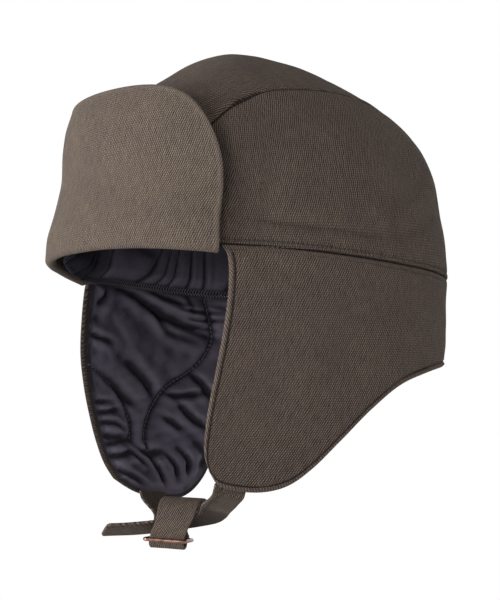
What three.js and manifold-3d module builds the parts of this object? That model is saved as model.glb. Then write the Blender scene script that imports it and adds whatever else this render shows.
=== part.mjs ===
import * as THREE from 'three';
import Module from 'manifold-3d';

const wasm = await Module();
wasm.setup();

// Trooper hat: a stitched twill crown, a stiff turned-up peak, two long ear flaps that meet
// at the back, a gathered and padded lining, and a chin strap that a wire slide holds.
// Millimetres. X points to the wearer's left, Y to the back and Z up. The origin is the
// centre of the head opening, level with the seam that joins the crown to the flaps.

// Head opening and crown
const HALF_WIDTH = 87;
const HALF_LENGTH = 110;
const OPENING_CENTRE_Y = 3;
const DOME_HEIGHT = 101;
const DOME_SQUARENESS = 2.55;
const DOME_LEAN = -4;
const RIDGE = { height: 13, halfWidth: 70, crestY: -14, frontReach: 52, backReach: 82 };
const BROW_SLOPE = { depth: 7.5, reach: 105, shape: 0.75 };
const STRIP_HALF_WIDTH = { brow: 50, top: 58, nape: 26, widestTurn: 80 };
const NAPE_DROP = 4.5;
const SEAM_REACH = 44;

// Cloth
const TWILL = 1.8;
const HEM = 3.2;
const GAP = 0.36;
const CROWN_PADDING = 4.5;
const FLAP_PADDING = 6.0;
const LINING_EDGE = 1.6;
const LINING_INSET = TWILL + 1.0;
const LINING_MARGIN = 5.5;
const CROWN_LINING_BOTTOM = -8;
const PLEATS = 48;
const PLEAT_DEPTH = 2.6;
const PLEAT_REACH = 30;

// Soft hollows pressed into the crown. A positive depth goes inward.
const CROWN_FOLDS = [
  { phi: 57, z: 46, spanPhi: 13, spanZ: 34, depth: 4.5 },
  { phi: -57, z: 46, spanPhi: 13, spanZ: 34, depth: 4.5 },
  { phi: 118, z: 52, spanPhi: 24, spanZ: 20, depth: 2.2 },
  { phi: -112, z: 46, spanPhi: 22, spanZ: 22, depth: 2.4 },
  { phi: 172, z: 40, spanPhi: 26, spanZ: 12, depth: 1.6 },
  { phi: 140, z: 66, spanPhi: 28, spanZ: 28, depth: -2.6 },
  { phi: -140, z: 66, spanPhi: 28, spanZ: 28, depth: -2.6 },
];

// Soft swells of the outer cloth alone. The crease above the seam lies between two of them.
const CLOTH_SWELLS = [
  { phi: 92, z: 20, spanPhi: 32, spanZ: 7.5, height: 1.7 },
  { phi: 90, z: 3, spanPhi: 34, spanZ: 5, height: 1.0 },
  { phi: -98, z: 22, spanPhi: 30, spanZ: 8, height: 1.5 },
  { phi: -92, z: 4, spanPhi: 34, spanZ: 5, height: 0.9 },
];

// Peak
const PEAK = {
  height: 84,
  halfAngle: 55,
  cornerPower: 5,
  topPower: 2.6,
  standoff: 6,
  thickness: 2.6,
  rollThickness: 5.6,
  rollHeight: 16,
  endDrop: 4.2,
};
const PEAK_LEAN = [
  { z: -6, lean: 0 },
  { z: 0, lean: 0 },
  { z: 12, lean: 1 },
  { z: 27, lean: 6 },
  { z: 42, lean: 10 },
  { z: 60, lean: 10.6 },
  { z: 70, lean: 12 },
  { z: 84, lean: 17 },
];

// Ear flaps. The front edge and the bottom edge give the angle round the head on each side.
const FLAP_TAPER = { depth: 124, width: 0.4, power: 2, length: 0.02 };
const FLAP_FRONT = [
  { z: 0, left: 57.4, right: 54 },
  { z: -24, left: 57.4, right: 49.6 },
  { z: -45, left: 56.5, right: 47.5 },
  { z: -63, left: 55.5, right: 48 },
  { z: -78, left: 54.8, right: 49.4 },
  { z: -91, left: 54.8, right: 51 },
  { z: -103, left: 55.7, right: 53.4 },
  { z: -112, left: 58.3, right: 57 },
];
const FLAP_BOTTOM = [
  { z: -112, left: 58.3, right: 57 },
  { z: -118.5, left: 62, right: 64.5 },
  { z: -121.4, left: 69, right: 72.5 },
  { z: -121.4, left: 77, right: 80 },
  { z: -118, left: 83.4, right: 85 },
  { z: -109.5, left: 89.3, right: 90.8 },
  { z: -95.5, left: 96.2, right: 96.8 },
  { z: -79.5, left: 104.6, right: 104.6 },
  { z: -66, left: 115, right: 115 },
  { z: -58, left: 128.5, right: 128.5 },
  { z: -52, left: 148, right: 148 },
  { z: -48.5, left: 180, right: 180 },
];

// Chin strap and slide
const STRAP_THICKNESS = 1.6;
const LOOP_STRAP_WIDTH = 20.5;
const TAIL_STRAP_WIDTH = 17.5;
const STRAP_ROOT_Z = -117.3;
const STRAP_ROOT_CUP = -0.3;
const STRAP_ROOT_INSET = HEM + 1.1 + STRAP_THICKNESS / 2;
const LEFT_STRAP_PHI = 66;
const RIGHT_STRAP_PHI = 69.5;
const TAIL_CUT = 4;

// The strap from the left flap: centre line, direction across the strap, and its cupping
const TAIL_ROUTE = [
  { x: 44.5, y: -39.6, z: -123.6, acrossX: 0.18, acrossY: 0.97, acrossZ: -0.05, cup: 0 },
  { x: 37, y: -38.2, z: -126.4, acrossX: 0.12, acrossY: 0.98, acrossZ: -0.1, cup: 0.3 },
  { x: 26, y: -35.5, z: -129, acrossX: 0.06, acrossY: 0.98, acrossZ: -0.15, cup: 0.6 },
  { x: 12, y: -29.4, z: -131.6, acrossX: -0.14, acrossY: 0.97, acrossZ: -0.2, cup: 1 },
  { x: -1.4, y: -26.2, z: -133.9, acrossX: -0.46, acrossY: 0.86, acrossZ: -0.25, cup: 1.4 },
  { x: -7.8, y: -30, z: -135.1, acrossX: -0.62, acrossY: 0.74, acrossZ: -0.28, cup: 1.6 },
  { x: -13.4, y: -35.9, z: -136.1, acrossX: -0.68, acrossY: 0.68, acrossZ: -0.28, cup: 1.6 },
  { x: -19, y: -42.8, z: -137.3, acrossX: -0.72, acrossY: 0.63, acrossZ: -0.3, cup: 1.4 },
  { x: -26, y: -54, z: -138.8, acrossX: -0.8, acrossY: 0.52, acrossZ: -0.3, cup: 1 },
  { x: -32.5, y: -67.5, z: -139.4, acrossX: -0.84, acrossY: 0.46, acrossZ: -0.3, cup: 0.6 },
];

// The closure has its own axes: r along the slide's bars, c outward and z up, from the point
// where the tail crosses the loop.
const CLOSURE_CENTRE = new THREE.Vector3(-13.4, -35.9, -136.1);
const CLOSURE_TURN = THREE.MathUtils.degToRad(45);
const ALONG_BARS = new THREE.Vector3(Math.cos(CLOSURE_TURN), Math.sin(CLOSURE_TURN), 0);
const OUTWARD = new THREE.Vector3(Math.sin(CLOSURE_TURN), -Math.cos(CLOSURE_TURN), 0);

// The strap from the right flap: from its sewn end behind the tail, over it, down the front,
// through the slide and up to the flap
const LOOP_ROUTE = [
  { r: 0, c: -11.2, z: 0.3 },
  { r: 1.5, c: -11.6, z: 5.8 },
  { r: 3.1, c: -8.6, z: 11.4 },
  { r: 3.9, c: 0, z: 13.2 },
  { r: 3.7, c: 8, z: 12.2 },
  { r: 2.9, c: 11, z: 8.4 },
  { r: 1.1, c: 12, z: 1.8 },
  { r: -1.5, c: 11.8, z: -4.2 },
  { r: -3.7, c: 9.2, z: -9 },
  { r: -4.3, c: 7.4, z: -11.7 },
  { r: -4.5, c: 4, z: -12.7 },
  { r: -4.5, c: 0.9, z: -11.3 },
  { r: -4.5, c: -0.1, z: -8.5 },
  { r: -4.7, c: -1.8, z: -6 },
  { r: -5.1, c: -4.8, z: -6.1 },
  { r: -7, c: -10, z: -6.6 },
  { r: -10, c: -17.5, z: -2.2 },
  { r: -13.2, c: -25, z: 5 },
];
const SLIDE = {
  wire: 1.05,
  halfLength: 12.2,
  cornerRadius: 2.4,
  centreR: -4.3,
  front: { c: 11.8, z: -9.3 },
  middle: { c: 4, z: -8.7 },
  rear: { c: -4.4, z: -8.1 },
};

const TWILL_COLOUR = 0x5e5348;
const LINING_COLOUR = 0x34323f;
const METAL_COLOUR = 0xa8735f;

const twill = () => new THREE.MeshStandardMaterial({ color: TWILL_COLOUR, roughness: 0.92 });
const satin = () => new THREE.MeshStandardMaterial({ color: LINING_COLOUR, roughness: 0.5 });
const copper = () =>
  new THREE.MeshStandardMaterial({ color: METAL_COLOUR, roughness: 0.35, metalness: 0.9 });

const radians = THREE.MathUtils.degToRad;
const clamp01 = (x) => THREE.MathUtils.clamp(x, 0, 1);
const smooth = (low, high, x) => THREE.MathUtils.smoothstep(x, low, high);
const mix = THREE.MathUtils.lerp;

// Straight interpolation in a table whose rows rise or fall in one column
function lookup(rows, key, column, at) {
  const rising = rows[rows.length - 1][key] > rows[0][key] ? 1 : -1;
  for (let i = 1; i < rows.length; i += 1) {
    if (rising * at <= rising * rows[i][key]) {
      const before = rows[i - 1];
      const share = clamp01((at - before[key]) / (rows[i][key] - before[key]));
      return mix(before[column], rows[i][column], share);
    }
  }
  return rows[rows.length - 1][column];
}

// A smooth curve through the rows of an outline, measured out evenly in millimetres
function outlineCurve(rows, side) {
  const millimetresPerDegree = radians(1) * 0.5 * (HALF_WIDTH + HALF_LENGTH);
  const points = rows.map(
    (row) => new THREE.Vector3(row[side] * millimetresPerDegree, row.z, 0),
  );
  const curve = new THREE.CatmullRomCurve3(points, false, 'centripetal');
  return (share) => {
    const point = curve.getPointAt(clamp01(share));
    return { phi: point.x / millimetresPerDegree, z: point.y };
  };
}

// The seam between crown and flaps dips a little towards the nape, and the cloth above and
// below it follows.
function seamDrop(phi, z) {
  const reach = Math.max(0, 1 - Math.abs(z) / SEAM_REACH) ** 2;
  return -NAPE_DROP * smooth(45, 120, Math.abs(phi)) * reach;
}

// Surface of the crown. phi goes round from the brow (0) past the left side (90) to the
// nape (180), z is the height before the ridge is added, inset is measured inward.
function crownPoint(phi, z, inset, swells = CLOTH_SWELLS) {
  const height = DOME_HEIGHT - inset;
  const level = clamp01(z / height);
  const ring = (1 - level ** DOME_SQUARENESS) ** (1 / DOME_SQUARENESS);
  const angle = radians(phi);
  const front = Math.max(0, Math.cos(angle)) ** 2;
  const wave = Math.sin(Math.PI * clamp01(Math.max(z, 0) / BROW_SLOPE.reach) ** BROW_SLOPE.shape);
  let push = 0;
  for (const fold of CROWN_FOLDS) {
    push += fold.depth * softBump(fold, phi, z);
  }
  for (const swell of swells) {
    push -= swell.height * softBump(swell, phi, z);
  }
  const x = ((HALF_WIDTH - inset) * ring - push) * Math.sin(angle);
  const lean = DOME_LEAN * level ** 2 + BROW_SLOPE.depth * front * wave;
  const y = OPENING_CENTRE_Y + lean - ((HALF_LENGTH - inset) * ring - push) * Math.cos(angle);
  const rise = z + ridgeHeight(x, y) + seamDrop(phi, z);
  return new THREE.Vector3(x, y, rise);
}

function softBump(row, phi, z) {
  const away = ((phi - row.phi + 540) % 360) - 180;
  return Math.exp(-((away / row.spanPhi) ** 2) - ((z - row.z) / row.spanZ) ** 2);
}

function ridgeHeight(x, y) {
  const across = clamp01(Math.abs(x) / RIDGE.halfWidth);
  const along = y < RIDGE.crestY
    ? (RIDGE.crestY - y) / RIDGE.frontReach
    : (y - RIDGE.crestY) / RIDGE.backReach;
  return RIDGE.height * (1 - across ** 2) ** 2 * (1 - clamp01(along) ** 2) ** 2;
}

// The crown surface above a point given by its distance x from the middle and by the turn
// from brow (0) over the top to the nape (180)
function crownByTurn(x, turn, inset) {
  const across = clamp01((x / (HALF_WIDTH - inset)) ** 2);
  const swing = Math.cos(radians(turn));
  const ring = Math.sqrt(across + (1 - across) * swing ** 2);
  const level = (1 - ring ** DOME_SQUARENESS) ** (1 / DOME_SQUARENESS);
  const phi = Math.atan2(x / (HALF_WIDTH - inset), Math.sqrt(1 - across) * swing);
  return { phi: THREE.MathUtils.radToDeg(phi), z: level * (DOME_HEIGHT - inset) };
}

// The strip widens from the brow to the top, and narrows towards the nape
function stripHalfWidth(turn) {
  const { brow, top, nape, widestTurn } = STRIP_HALF_WIDTH;
  if (turn < widestTurn) return mix(brow, top, Math.sin(radians((turn / widestTurn) * 90)));
  const behind = ((turn - widestTurn) / (180 - widestTurn)) * 90;
  return mix(nape, top, Math.cos(radians(behind)) ** 2);
}

// Surface of an ear flap below the seam
function flapPoint(side, phi, z, inset) {
  const depth = Math.max(0, -z / FLAP_TAPER.depth);
  const angle = radians(phi);
  const narrow = 1 - FLAP_TAPER.width * depth ** FLAP_TAPER.power;
  const shorter = 1 - FLAP_TAPER.length * depth;
  const x = Math.max(GAP / 2, (HALF_WIDTH * narrow - inset) * Math.sin(angle));
  const y = OPENING_CENTRE_Y - (HALF_LENGTH * shorter - inset) * Math.cos(angle);
  return new THREE.Vector3(side * x, y, z + seamDrop(phi, z));
}

// Patch coordinates of a flap: s from its front edge to the nape, v from the seam down
function flapPatch(name) {
  const front = outlineCurve(FLAP_FRONT, name);
  const bottom = outlineCurve(FLAP_BOTTOM, name);
  const start = FLAP_FRONT[0][name];
  const nape = FLAP_BOTTOM[FLAP_BOTTOM.length - 1];
  return (s, v) => {
    const low = bottom(s);
    const edge = front(v);
    const corner = front(1);
    const phiTop = mix(start, 180, s);
    const phiSides = mix(edge.phi, 180, s);
    const zSides = mix(edge.z, nape.z * v, s);
    const phiCorners = mix(mix(start, 180, s), mix(corner.phi, 180, s), v);
    const zCorners = mix(0, mix(corner.z, nape.z, s), v);
    return {
      phi: mix(phiTop, low.phi, v) + phiSides - phiCorners,
      z: mix(0, low.z, v) + zSides - zCorners,
    };
  };
}

// Turns points and faces into a closed geometry, merging points that fall together.
function closedGeometry(points, faces) {
  const merged = [];
  const numbers = new Map();
  const index = points.map((point) => {
    const key = point.toArray().map((value) => Math.round(value * 500)).join();
    if (!numbers.has(key)) {
      numbers.set(key, merged.length);
      merged.push(point);
    }
    return numbers.get(key);
  });
  const triangles = faces
    .map((face) => face.map((corner) => index[corner]))
    .filter(([a, b, c]) => a !== b && b !== c && a !== c);
  let volume = 0;
  for (const [a, b, c] of triangles) {
    volume += merged[a].dot(new THREE.Vector3().crossVectors(merged[b], merged[c]));
  }
  const outward = volume > 0 ? triangles : triangles.map(([a, b, c]) => [a, c, b]);
  const geometry = new THREE.BufferGeometry().setFromPoints(merged);
  geometry.setIndex(outward.flat());
  geometry.computeVertexNormals();
  return geometry;
}

function quad(faces, a, b, c, d) {
  faces.push([a, b, c], [a, c, d]);
}

// A wall between an outer and an inner surface, both given over the same grid
function wall(columns, rows, outer, inner) {
  const points = [];
  const faces = [];
  for (const surface of [outer, inner]) {
    for (const v of rows) {
      for (const s of columns) {
        points.push(surface(s, v));
      }
    }
  }
  const wide = columns.length;
  const layer = wide * rows.length;
  const at = (i, j, k) => k * layer + j * wide + i;
  for (let j = 0; j + 1 < rows.length; j += 1) {
    for (let i = 0; i + 1 < wide; i += 1) {
      quad(faces, at(i, j, 0), at(i + 1, j, 0), at(i + 1, j + 1, 0), at(i, j + 1, 0));
      quad(faces, at(i, j, 1), at(i, j + 1, 1), at(i + 1, j + 1, 1), at(i + 1, j, 1));
    }
  }
  const last = rows.length - 1;
  for (let i = 0; i + 1 < wide; i += 1) {
    quad(faces, at(i, 0, 0), at(i, 0, 1), at(i + 1, 0, 1), at(i + 1, 0, 0));
    quad(faces, at(i, last, 0), at(i + 1, last, 0), at(i + 1, last, 1), at(i, last, 1));
  }
  for (let j = 0; j < last; j += 1) {
    quad(faces, at(0, j, 0), at(0, j + 1, 0), at(0, j + 1, 1), at(0, j, 1));
    quad(faces, at(wide - 1, j, 0), at(wide - 1, j, 1), at(wide - 1, j + 1, 1), at(wide - 1, j + 1, 0));
  }
  return closedGeometry(points, faces);
}

// A solid swept through rings of equal size. Ring points run up one face and down the other,
// so that an end is closed by joining each point to the one opposite.
function sweep(rings, closed = false) {
  const size = rings[0].length;
  const points = rings.flat();
  const faces = [];
  const spans = closed ? rings.length : rings.length - 1;
  for (let i = 0; i < spans; i += 1) {
    const next = ((i + 1) % rings.length) * size;
    for (let k = 0; k < size; k += 1) {
      const after = (k + 1) % size;
      quad(faces, i * size + k, i * size + after, next + after, next + k);
    }
  }
  if (!closed) {
    const end = (rings.length - 1) * size;
    for (let k = 0; k < size / 2 - 1; k += 1) {
      quad(faces, k, size - 1 - k, size - 2 - k, k + 1);
      quad(faces, end + k, end + k + 1, end + size - 2 - k, end + size - 1 - k);
    }
  }
  return closedGeometry(points, faces);
}

// A closed skin over rings that may grow or shrink in count by a whole factor
function ringSkin(rings) {
  const points = rings.flat();
  const faces = [];
  let start = 0;
  for (let i = 0; i + 1 < rings.length; i += 1) {
    const here = rings[i].length;
    const there = rings[i + 1].length;
    const next = start + here;
    const few = Math.min(here, there);
    for (let k = 0; k < few; k += 1) {
      const a = Array.from({ length: here / few + 1 }, (_, n) => start + (((k * here) / few + n) % here));
      const b = Array.from({ length: there / few + 1 }, (_, n) => next + (((k * there) / few + n) % there));
      for (let n = 0; n + 1 < b.length; n += 1) {
        faces.push([a[0], b[n], b[n + 1]]);
      }
      for (let n = 0; n + 1 < a.length; n += 1) {
        faces.push([a[n], b[b.length - 1], a[n + 1]]);
      }
    }
    start = next;
  }
  return closedGeometry(points, faces);
}

function evenSteps(count, low = 0, high = 1) {
  return Array.from({ length: count + 1 }, (_, i) => mix(low, high, i / count));
}

function makeMesh(name, geometry, material) {
  const mesh = new THREE.Mesh(geometry, material);
  mesh.name = name;
  return mesh;
}

// The strip runs from the brow over the top to the nape, between the two side panels.
function crownStrip() {
  const at = (inset) => (across, turn) => {
    const x = across * (stripHalfWidth(turn) - GAP / 2);
    const place = crownByTurn(Math.abs(x), turn, inset);
    const point = crownPoint(Math.sign(x || 1) * place.phi, place.z, inset);
    const rim = turn === 0 || turn === 180 ? GAP / 2 : 0;
    return point.setZ(point.z + rim);
  };
  return wall(evenSteps(10, -1, 1), evenSteps(26, 0, 180), at(0), at(TWILL));
}

function crownSide(side) {
  const at = (inset) => (turn, down) => {
    const top = crownByTurn(stripHalfWidth(turn) + GAP / 2, turn, inset);
    const point = crownPoint(side * top.phi, top.z * (1 - down), inset);
    return point.setZ(point.z + GAP / 2);
  };
  const rows = [0, 0.16, 0.34, 0.5, 0.63, 0.73, 0.82, 0.91, 1];
  return wall(evenSteps(22, 3, 177), rows, at(0), at(TWILL));
}

// The peak stands in front of the crown; its cloth rolls up at the seam.
function peakGeometry() {
  const faceSteps = 7;
  const outerFace = (phi, z, inward) => {
    const lean = lookup(PEAK_LEAN, 'z', 'lean', z);
    const angle = radians(phi);
    return new THREE.Vector3(
      (HALF_WIDTH + PEAK.standoff - inward) * Math.sin(angle),
      OPENING_CENTRE_Y - (HALF_LENGTH + PEAK.standoff - lean - inward) * Math.cos(angle),
      z,
    );
  };
  const ends = [0.93, 0.96, 0.98, 0.992, 0.998];
  const shares = [...ends.map((share) => -share).reverse(), ...evenSteps(16, -0.88, 0.88), ...ends];
  const rings = shares.map((share) => {
    const phi = share * PEAK.halfAngle;
    const top = PEAK.height * (1 - Math.abs(share) ** PEAK.cornerPower) ** (1 / PEAK.topPower);
    const bottom = -PEAK.endDrop * Math.abs(share) ** 3;
    const thickness = (z) => {
      const high = smooth(0, PEAK.rollHeight, z - bottom);
      return mix(PEAK.rollThickness, PEAK.thickness, high);
    };
    const low = bottom - 1.2;
    const rim = PEAK.thickness / 2;
    const heights = evenSteps(faceSteps, bottom + 1.5, top - rim);
    const outside = heights.map((z) => outerFace(phi, z, 0));
    const inside = heights.map((z) => outerFace(phi, z, thickness(z)));
    const bottomOut = outerFace(phi, low, 1.4);
    const bottomIn = outerFace(phi, low, PEAK.rollThickness - 0.9);
    const topOut = outerFace(phi, top, rim * 0.6);
    const topIn = outerFace(phi, top, rim * 1.4);
    return [bottomOut, ...outside, topOut, topIn, ...inside.reverse(), bottomIn];
  });
  return sweep(rings);
}

const FLAP_COLUMNS = [0, 0.02, 0.06, ...evenSteps(18, 0.11, 0.97), 1];
const FLAP_ROWS = [...evenSteps(8, 0, 0.9), 0.96, 1];

function earFlap(side, name) {
  const patch = flapPatch(name);
  const at = (inner) => (s, v) => {
    const place = patch(s, v);
    const hemmed = (s === 0 && place.z < CROWN_LINING_BOTTOM - 2) || v === 1;
    const inset = inner ? (hemmed ? HEM : TWILL) : 0;
    const point = flapPoint(side, place.phi, place.z, inset);
    return v === 0 ? point.setZ(point.z - GAP / 2) : point;
  };
  return wall(FLAP_COLUMNS, FLAP_ROWS, at(false), at(true));
}

// The flap's padding is thick in the middle and flat along its edges.
function flapLining(side, name) {
  const patch = flapPatch(name);
  const depth = (s) => -patch(s, 1).z;
  const place = (s, v) => {
    const across = mix(LINING_MARGIN / 190, 1, s);
    const first = -(CROWN_LINING_BOTTOM - GAP) / depth(across);
    const last = 1 - LINING_MARGIN / depth(across);
    return patch(across, mix(first, last, v));
  };
  const at = (inner) => (s, v) => {
    const { phi, z } = place(s, v);
    const edge = smooth(0, 0.12, s) * smooth(0, 0.16, 1 - v) * smooth(-0.1, 0.12, v);
    const inset = LINING_INSET + (inner ? mix(LINING_EDGE, FLAP_PADDING, edge) : 0);
    return flapPoint(side, phi, z, inset);
  };
  const columns = [0, 0.03, 0.08, ...evenSteps(14, 0.14, 1)];
  return wall(columns, [0, 0.08, ...evenSteps(6, 0.18, 0.86), 0.94, 1], at(false), at(true));
}

// The crown's lining is a padded dome whose lower edge is gathered all round.
function crownLining() {
  const around = (count) => evenSteps(count, -180, 180).slice(0, count);
  const browLift = (phi) => 9 * (1 - smooth(46, 62, Math.abs(phi)));
  const ringAt = (count, turn, inset, pleated) => around(count).map((phi, k) => {
    const height = DOME_HEIGHT - inset;
    const z = height * Math.sin(radians(Math.max(turn, 0))) ** (2 / DOME_SQUARENESS);
    const low = turn < 0 ? (CROWN_LINING_BOTTOM + browLift(phi)) * (turn / -10) : z;
    const wave = [0, 0.5, 1, 0.5][k % 4];
    const fade = clamp01(1 - (low - CROWN_LINING_BOTTOM) / PLEAT_REACH);
    const fold = pleated ? PLEAT_DEPTH * wave * fade : 0;
    return crownPoint(phi, low, inset + fold, []);
  });
  const outer = LINING_INSET;
  const inner = LINING_INSET + CROWN_PADDING;
  const apex = (inset) => [crownPoint(0, DOME_HEIGHT - inset, inset, [])];
  const rings = [apex(outer)];
  for (const turn of [72, 54, 39, 26, 14, 4, -10]) {
    rings.push(ringAt(PLEATS, turn, outer, false));
  }
  for (const turn of [-10, 1, 5]) {
    rings.push(ringAt(PLEATS * 4, turn, inner, true));
  }
  for (const turn of [13, 28, 43, 58, 74]) {
    rings.push(ringAt(PLEATS, turn, inner, false));
  }
  rings.push(apex(inner));
  return ringSkin(rings);
}

// Cross-section of a strap: a flat band, cupped by a few millimetres where it is squeezed
function strapRing(centre, across, along, width, cup) {
  const flat = across.clone().normalize();
  const heading = along.clone().addScaledVector(flat, -along.dot(flat)).normalize();
  const normal = new THREE.Vector3().crossVectors(flat, heading);
  const stations = [-0.5, -0.45, 0, 0.45, 0.5];
  const place = (share, face) => {
    const rounded = Math.abs(share) === 0.5 ? 0.45 : 1;
    const sag = cup * (1 - (2 * share) ** 2);
    return centre.clone()
      .addScaledVector(flat, share * width)
      .addScaledVector(normal, sag + face * rounded * STRAP_THICKNESS * 0.5);
  };
  return [
    ...stations.map((share) => place(share, 1)),
    ...stations.slice().reverse().map((share) => place(share, -1)),
  ];
}

function strapGeometry(centres, acrosses, cups, width, steps, cut) {
  const line = new THREE.CatmullRomCurve3(centres, false, 'centripetal');
  const turning = new THREE.CatmullRomCurve3(acrosses, false, 'catmullrom');
  const count = centres.length - 1;
  const rings = evenSteps(steps).map((t) => {
    const whole = Math.min(Math.floor(t * count), count - 1);
    const cup = mix(cups[whole], cups[whole + 1], t * count - whole);
    return strapRing(line.getPoint(t), turning.getPoint(t), line.getTangent(t), width, cup);
  });
  const heading = line.getTangent(1);
  const last = rings[rings.length - 1];
  last.forEach((point, k) => {
    const share = Math.min(k, last.length - 1 - k) / (last.length / 2 - 1);
    point.addScaledVector(heading, cut * share);
  });
  return sweep(rings);
}

// Where a strap is sewn behind the hem of its flap, and how the wall leads it downward
function strapRoot(side, phi) {
  const points = [STRAP_ROOT_Z, STRAP_ROOT_Z - 4.6].map((z) => flapPoint(side, phi, z, STRAP_ROOT_INSET));
  const ahead = flapPoint(side, phi + 1, STRAP_ROOT_Z, STRAP_ROOT_INSET);
  return { points, across: ahead.sub(points[0]).normalize() };
}

function tailStrap() {
  const root = strapRoot(1, LEFT_STRAP_PHI);
  const centres = [...root.points, ...TAIL_ROUTE.map((row) => new THREE.Vector3(row.x, row.y, row.z))];
  const acrosses = [
    root.across,
    root.across,
    ...TAIL_ROUTE.map((row) => new THREE.Vector3(row.acrossX, row.acrossY, row.acrossZ)),
  ];
  const cups = [STRAP_ROOT_CUP, STRAP_ROOT_CUP, ...TAIL_ROUTE.map((row) => row.cup)];
  return strapGeometry(centres, acrosses, cups, TAIL_STRAP_WIDTH, 32, TAIL_CUT);
}

function closurePoint(r, c, z) {
  return CLOSURE_CENTRE.clone()
    .addScaledVector(ALONG_BARS, r)
    .addScaledVector(OUTWARD, c)
    .setZ(CLOSURE_CENTRE.z + z);
}

function loopStrap() {
  const root = strapRoot(-1, RIGHT_STRAP_PHI);
  const loop = LOOP_ROUTE.map((row) => closurePoint(row.r, row.c, row.z));
  const centres = [...loop, root.points[1], root.points[0]];
  const turned = LOOP_ROUTE.length - 3;
  const acrosses = centres.map((_, k) =>
    ALONG_BARS.clone().lerp(root.across, smooth(turned - 1, LOOP_ROUTE.length, k)),
  );
  const cups = centres.map((_, k) => (k < LOOP_ROUTE.length ? 0 : STRAP_ROOT_CUP));
  return strapGeometry(centres, acrosses, cups, LOOP_STRAP_WIDTH, 54, 0);
}

// The slide is a wire frame with a bar across its middle.
function slideGeometry() {
  const { wire, halfLength, cornerRadius, centreR, front, middle, rear } = SLIDE;
  const depthAxis = closurePoint(0, front.c, front.z).sub(closurePoint(0, rear.c, rear.z));
  const halfDepth = depthAxis.length() / 2;
  depthAxis.normalize();
  const centre = closurePoint(centreR, (front.c + rear.c) / 2, (front.z + rear.z) / 2);
  const up = new THREE.Vector3().crossVectors(ALONG_BARS, depthAxis).normalize();
  const corners = [
    { x: 1, y: 1, from: 0 },
    { x: -1, y: 1, from: 90 },
    { x: -1, y: -1, from: 180 },
    { x: 1, y: -1, from: 270 },
  ];
  const around = corners.flatMap(({ x, y, from }) => evenSteps(3, from, from + 90).map((turn) => ({
    angle: radians(turn),
    x: x * (halfLength - cornerRadius) + cornerRadius * Math.cos(radians(turn)),
    y: y * (halfDepth - cornerRadius) + cornerRadius * Math.sin(radians(turn)),
  })));
  const wireRing = (at, sideways, upward) => evenSteps(8, 0, 360).slice(0, 8).map((turn) =>
    at.clone()
      .addScaledVector(sideways, wire * Math.cos(radians(turn)))
      .addScaledVector(upward, wire * Math.sin(radians(turn))),
  );
  const frame = around.map(({ angle, x, y }) => {
    const at = centre.clone().addScaledVector(ALONG_BARS, x).addScaledVector(depthAxis, y);
    const sideways = ALONG_BARS.clone().multiplyScalar(Math.cos(angle));
    return wireRing(at, sideways.addScaledVector(depthAxis, Math.sin(angle)), up);
  });
  const barEnd = halfLength;
  const barShift = closurePoint(centreR, middle.c, middle.z);
  const bar = [-barEnd, barEnd].map((x) =>
    wireRing(barShift.clone().addScaledVector(ALONG_BARS, x), depthAxis, up),
  );
  return join(sweep(frame, true), sweep(bar));
}

// Fuses two closed geometries into one
function join(first, second) {
  const solids = [first, second].map((geometry) => new wasm.Manifold(new wasm.Mesh({
    numProp: 3,
    vertProperties: Float32Array.from(geometry.attributes.position.array),
    triVerts: Uint32Array.from(geometry.index.array),
  })));
  const mesh = solids[0].add(solids[1]).getMesh();
  const geometry = new THREE.BufferGeometry();
  geometry.setAttribute('position', new THREE.BufferAttribute(mesh.vertProperties, 3));
  geometry.setIndex(new THREE.BufferAttribute(mesh.triVerts, 1));
  geometry.computeVertexNormals();
  return geometry;
}

const hat = new THREE.Group();
hat.add(makeMesh('crown_centre_strip', crownStrip(), twill()));
hat.add(makeMesh('crown_side_left', crownSide(1), twill()));
hat.add(makeMesh('crown_side_right', crownSide(-1), twill()));
hat.add(makeMesh('peak', peakGeometry(), twill()));
hat.add(makeMesh('ear_flap_left', earFlap(1, 'left'), twill()));
hat.add(makeMesh('ear_flap_right', earFlap(-1, 'right'), twill()));
hat.add(makeMesh('crown_lining', crownLining(), satin()));
hat.add(makeMesh('flap_lining_left', flapLining(1, 'left'), satin()));
hat.add(makeMesh('flap_lining_right', flapLining(-1, 'right'), satin()));
hat.add(makeMesh('strap_left', tailStrap(), twill()));
hat.add(makeMesh('strap_right', loopStrap(), twill()));
hat.add(makeMesh('slide', slideGeometry(), copper()));

export default hat;
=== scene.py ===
# %% [markdown]
# # A trooper hat in sewn cloth
# The hat is cut from brown cotton twill and lined with dark padded satin. Each cloth panel
# of the real hat is one surface here: a formula gives its place, numpy works the whole
# surface out at once, and a second sheet just inside it gives the cloth its thickness.

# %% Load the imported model
import math
import bpy
import numpy as np
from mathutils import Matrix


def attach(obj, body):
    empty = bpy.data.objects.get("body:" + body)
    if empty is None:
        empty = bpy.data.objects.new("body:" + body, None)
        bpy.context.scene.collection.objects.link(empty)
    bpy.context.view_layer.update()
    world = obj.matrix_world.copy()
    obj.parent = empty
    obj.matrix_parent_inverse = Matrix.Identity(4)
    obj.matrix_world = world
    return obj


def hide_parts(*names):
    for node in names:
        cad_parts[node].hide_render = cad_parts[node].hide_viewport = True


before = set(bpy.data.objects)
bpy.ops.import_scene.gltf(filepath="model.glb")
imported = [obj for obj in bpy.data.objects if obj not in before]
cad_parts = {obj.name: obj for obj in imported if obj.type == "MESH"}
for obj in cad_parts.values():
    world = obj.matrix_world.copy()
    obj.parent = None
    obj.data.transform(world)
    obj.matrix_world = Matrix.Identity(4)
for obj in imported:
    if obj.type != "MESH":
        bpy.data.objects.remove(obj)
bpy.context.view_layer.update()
print("packed nodes:", len(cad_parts))

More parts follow.
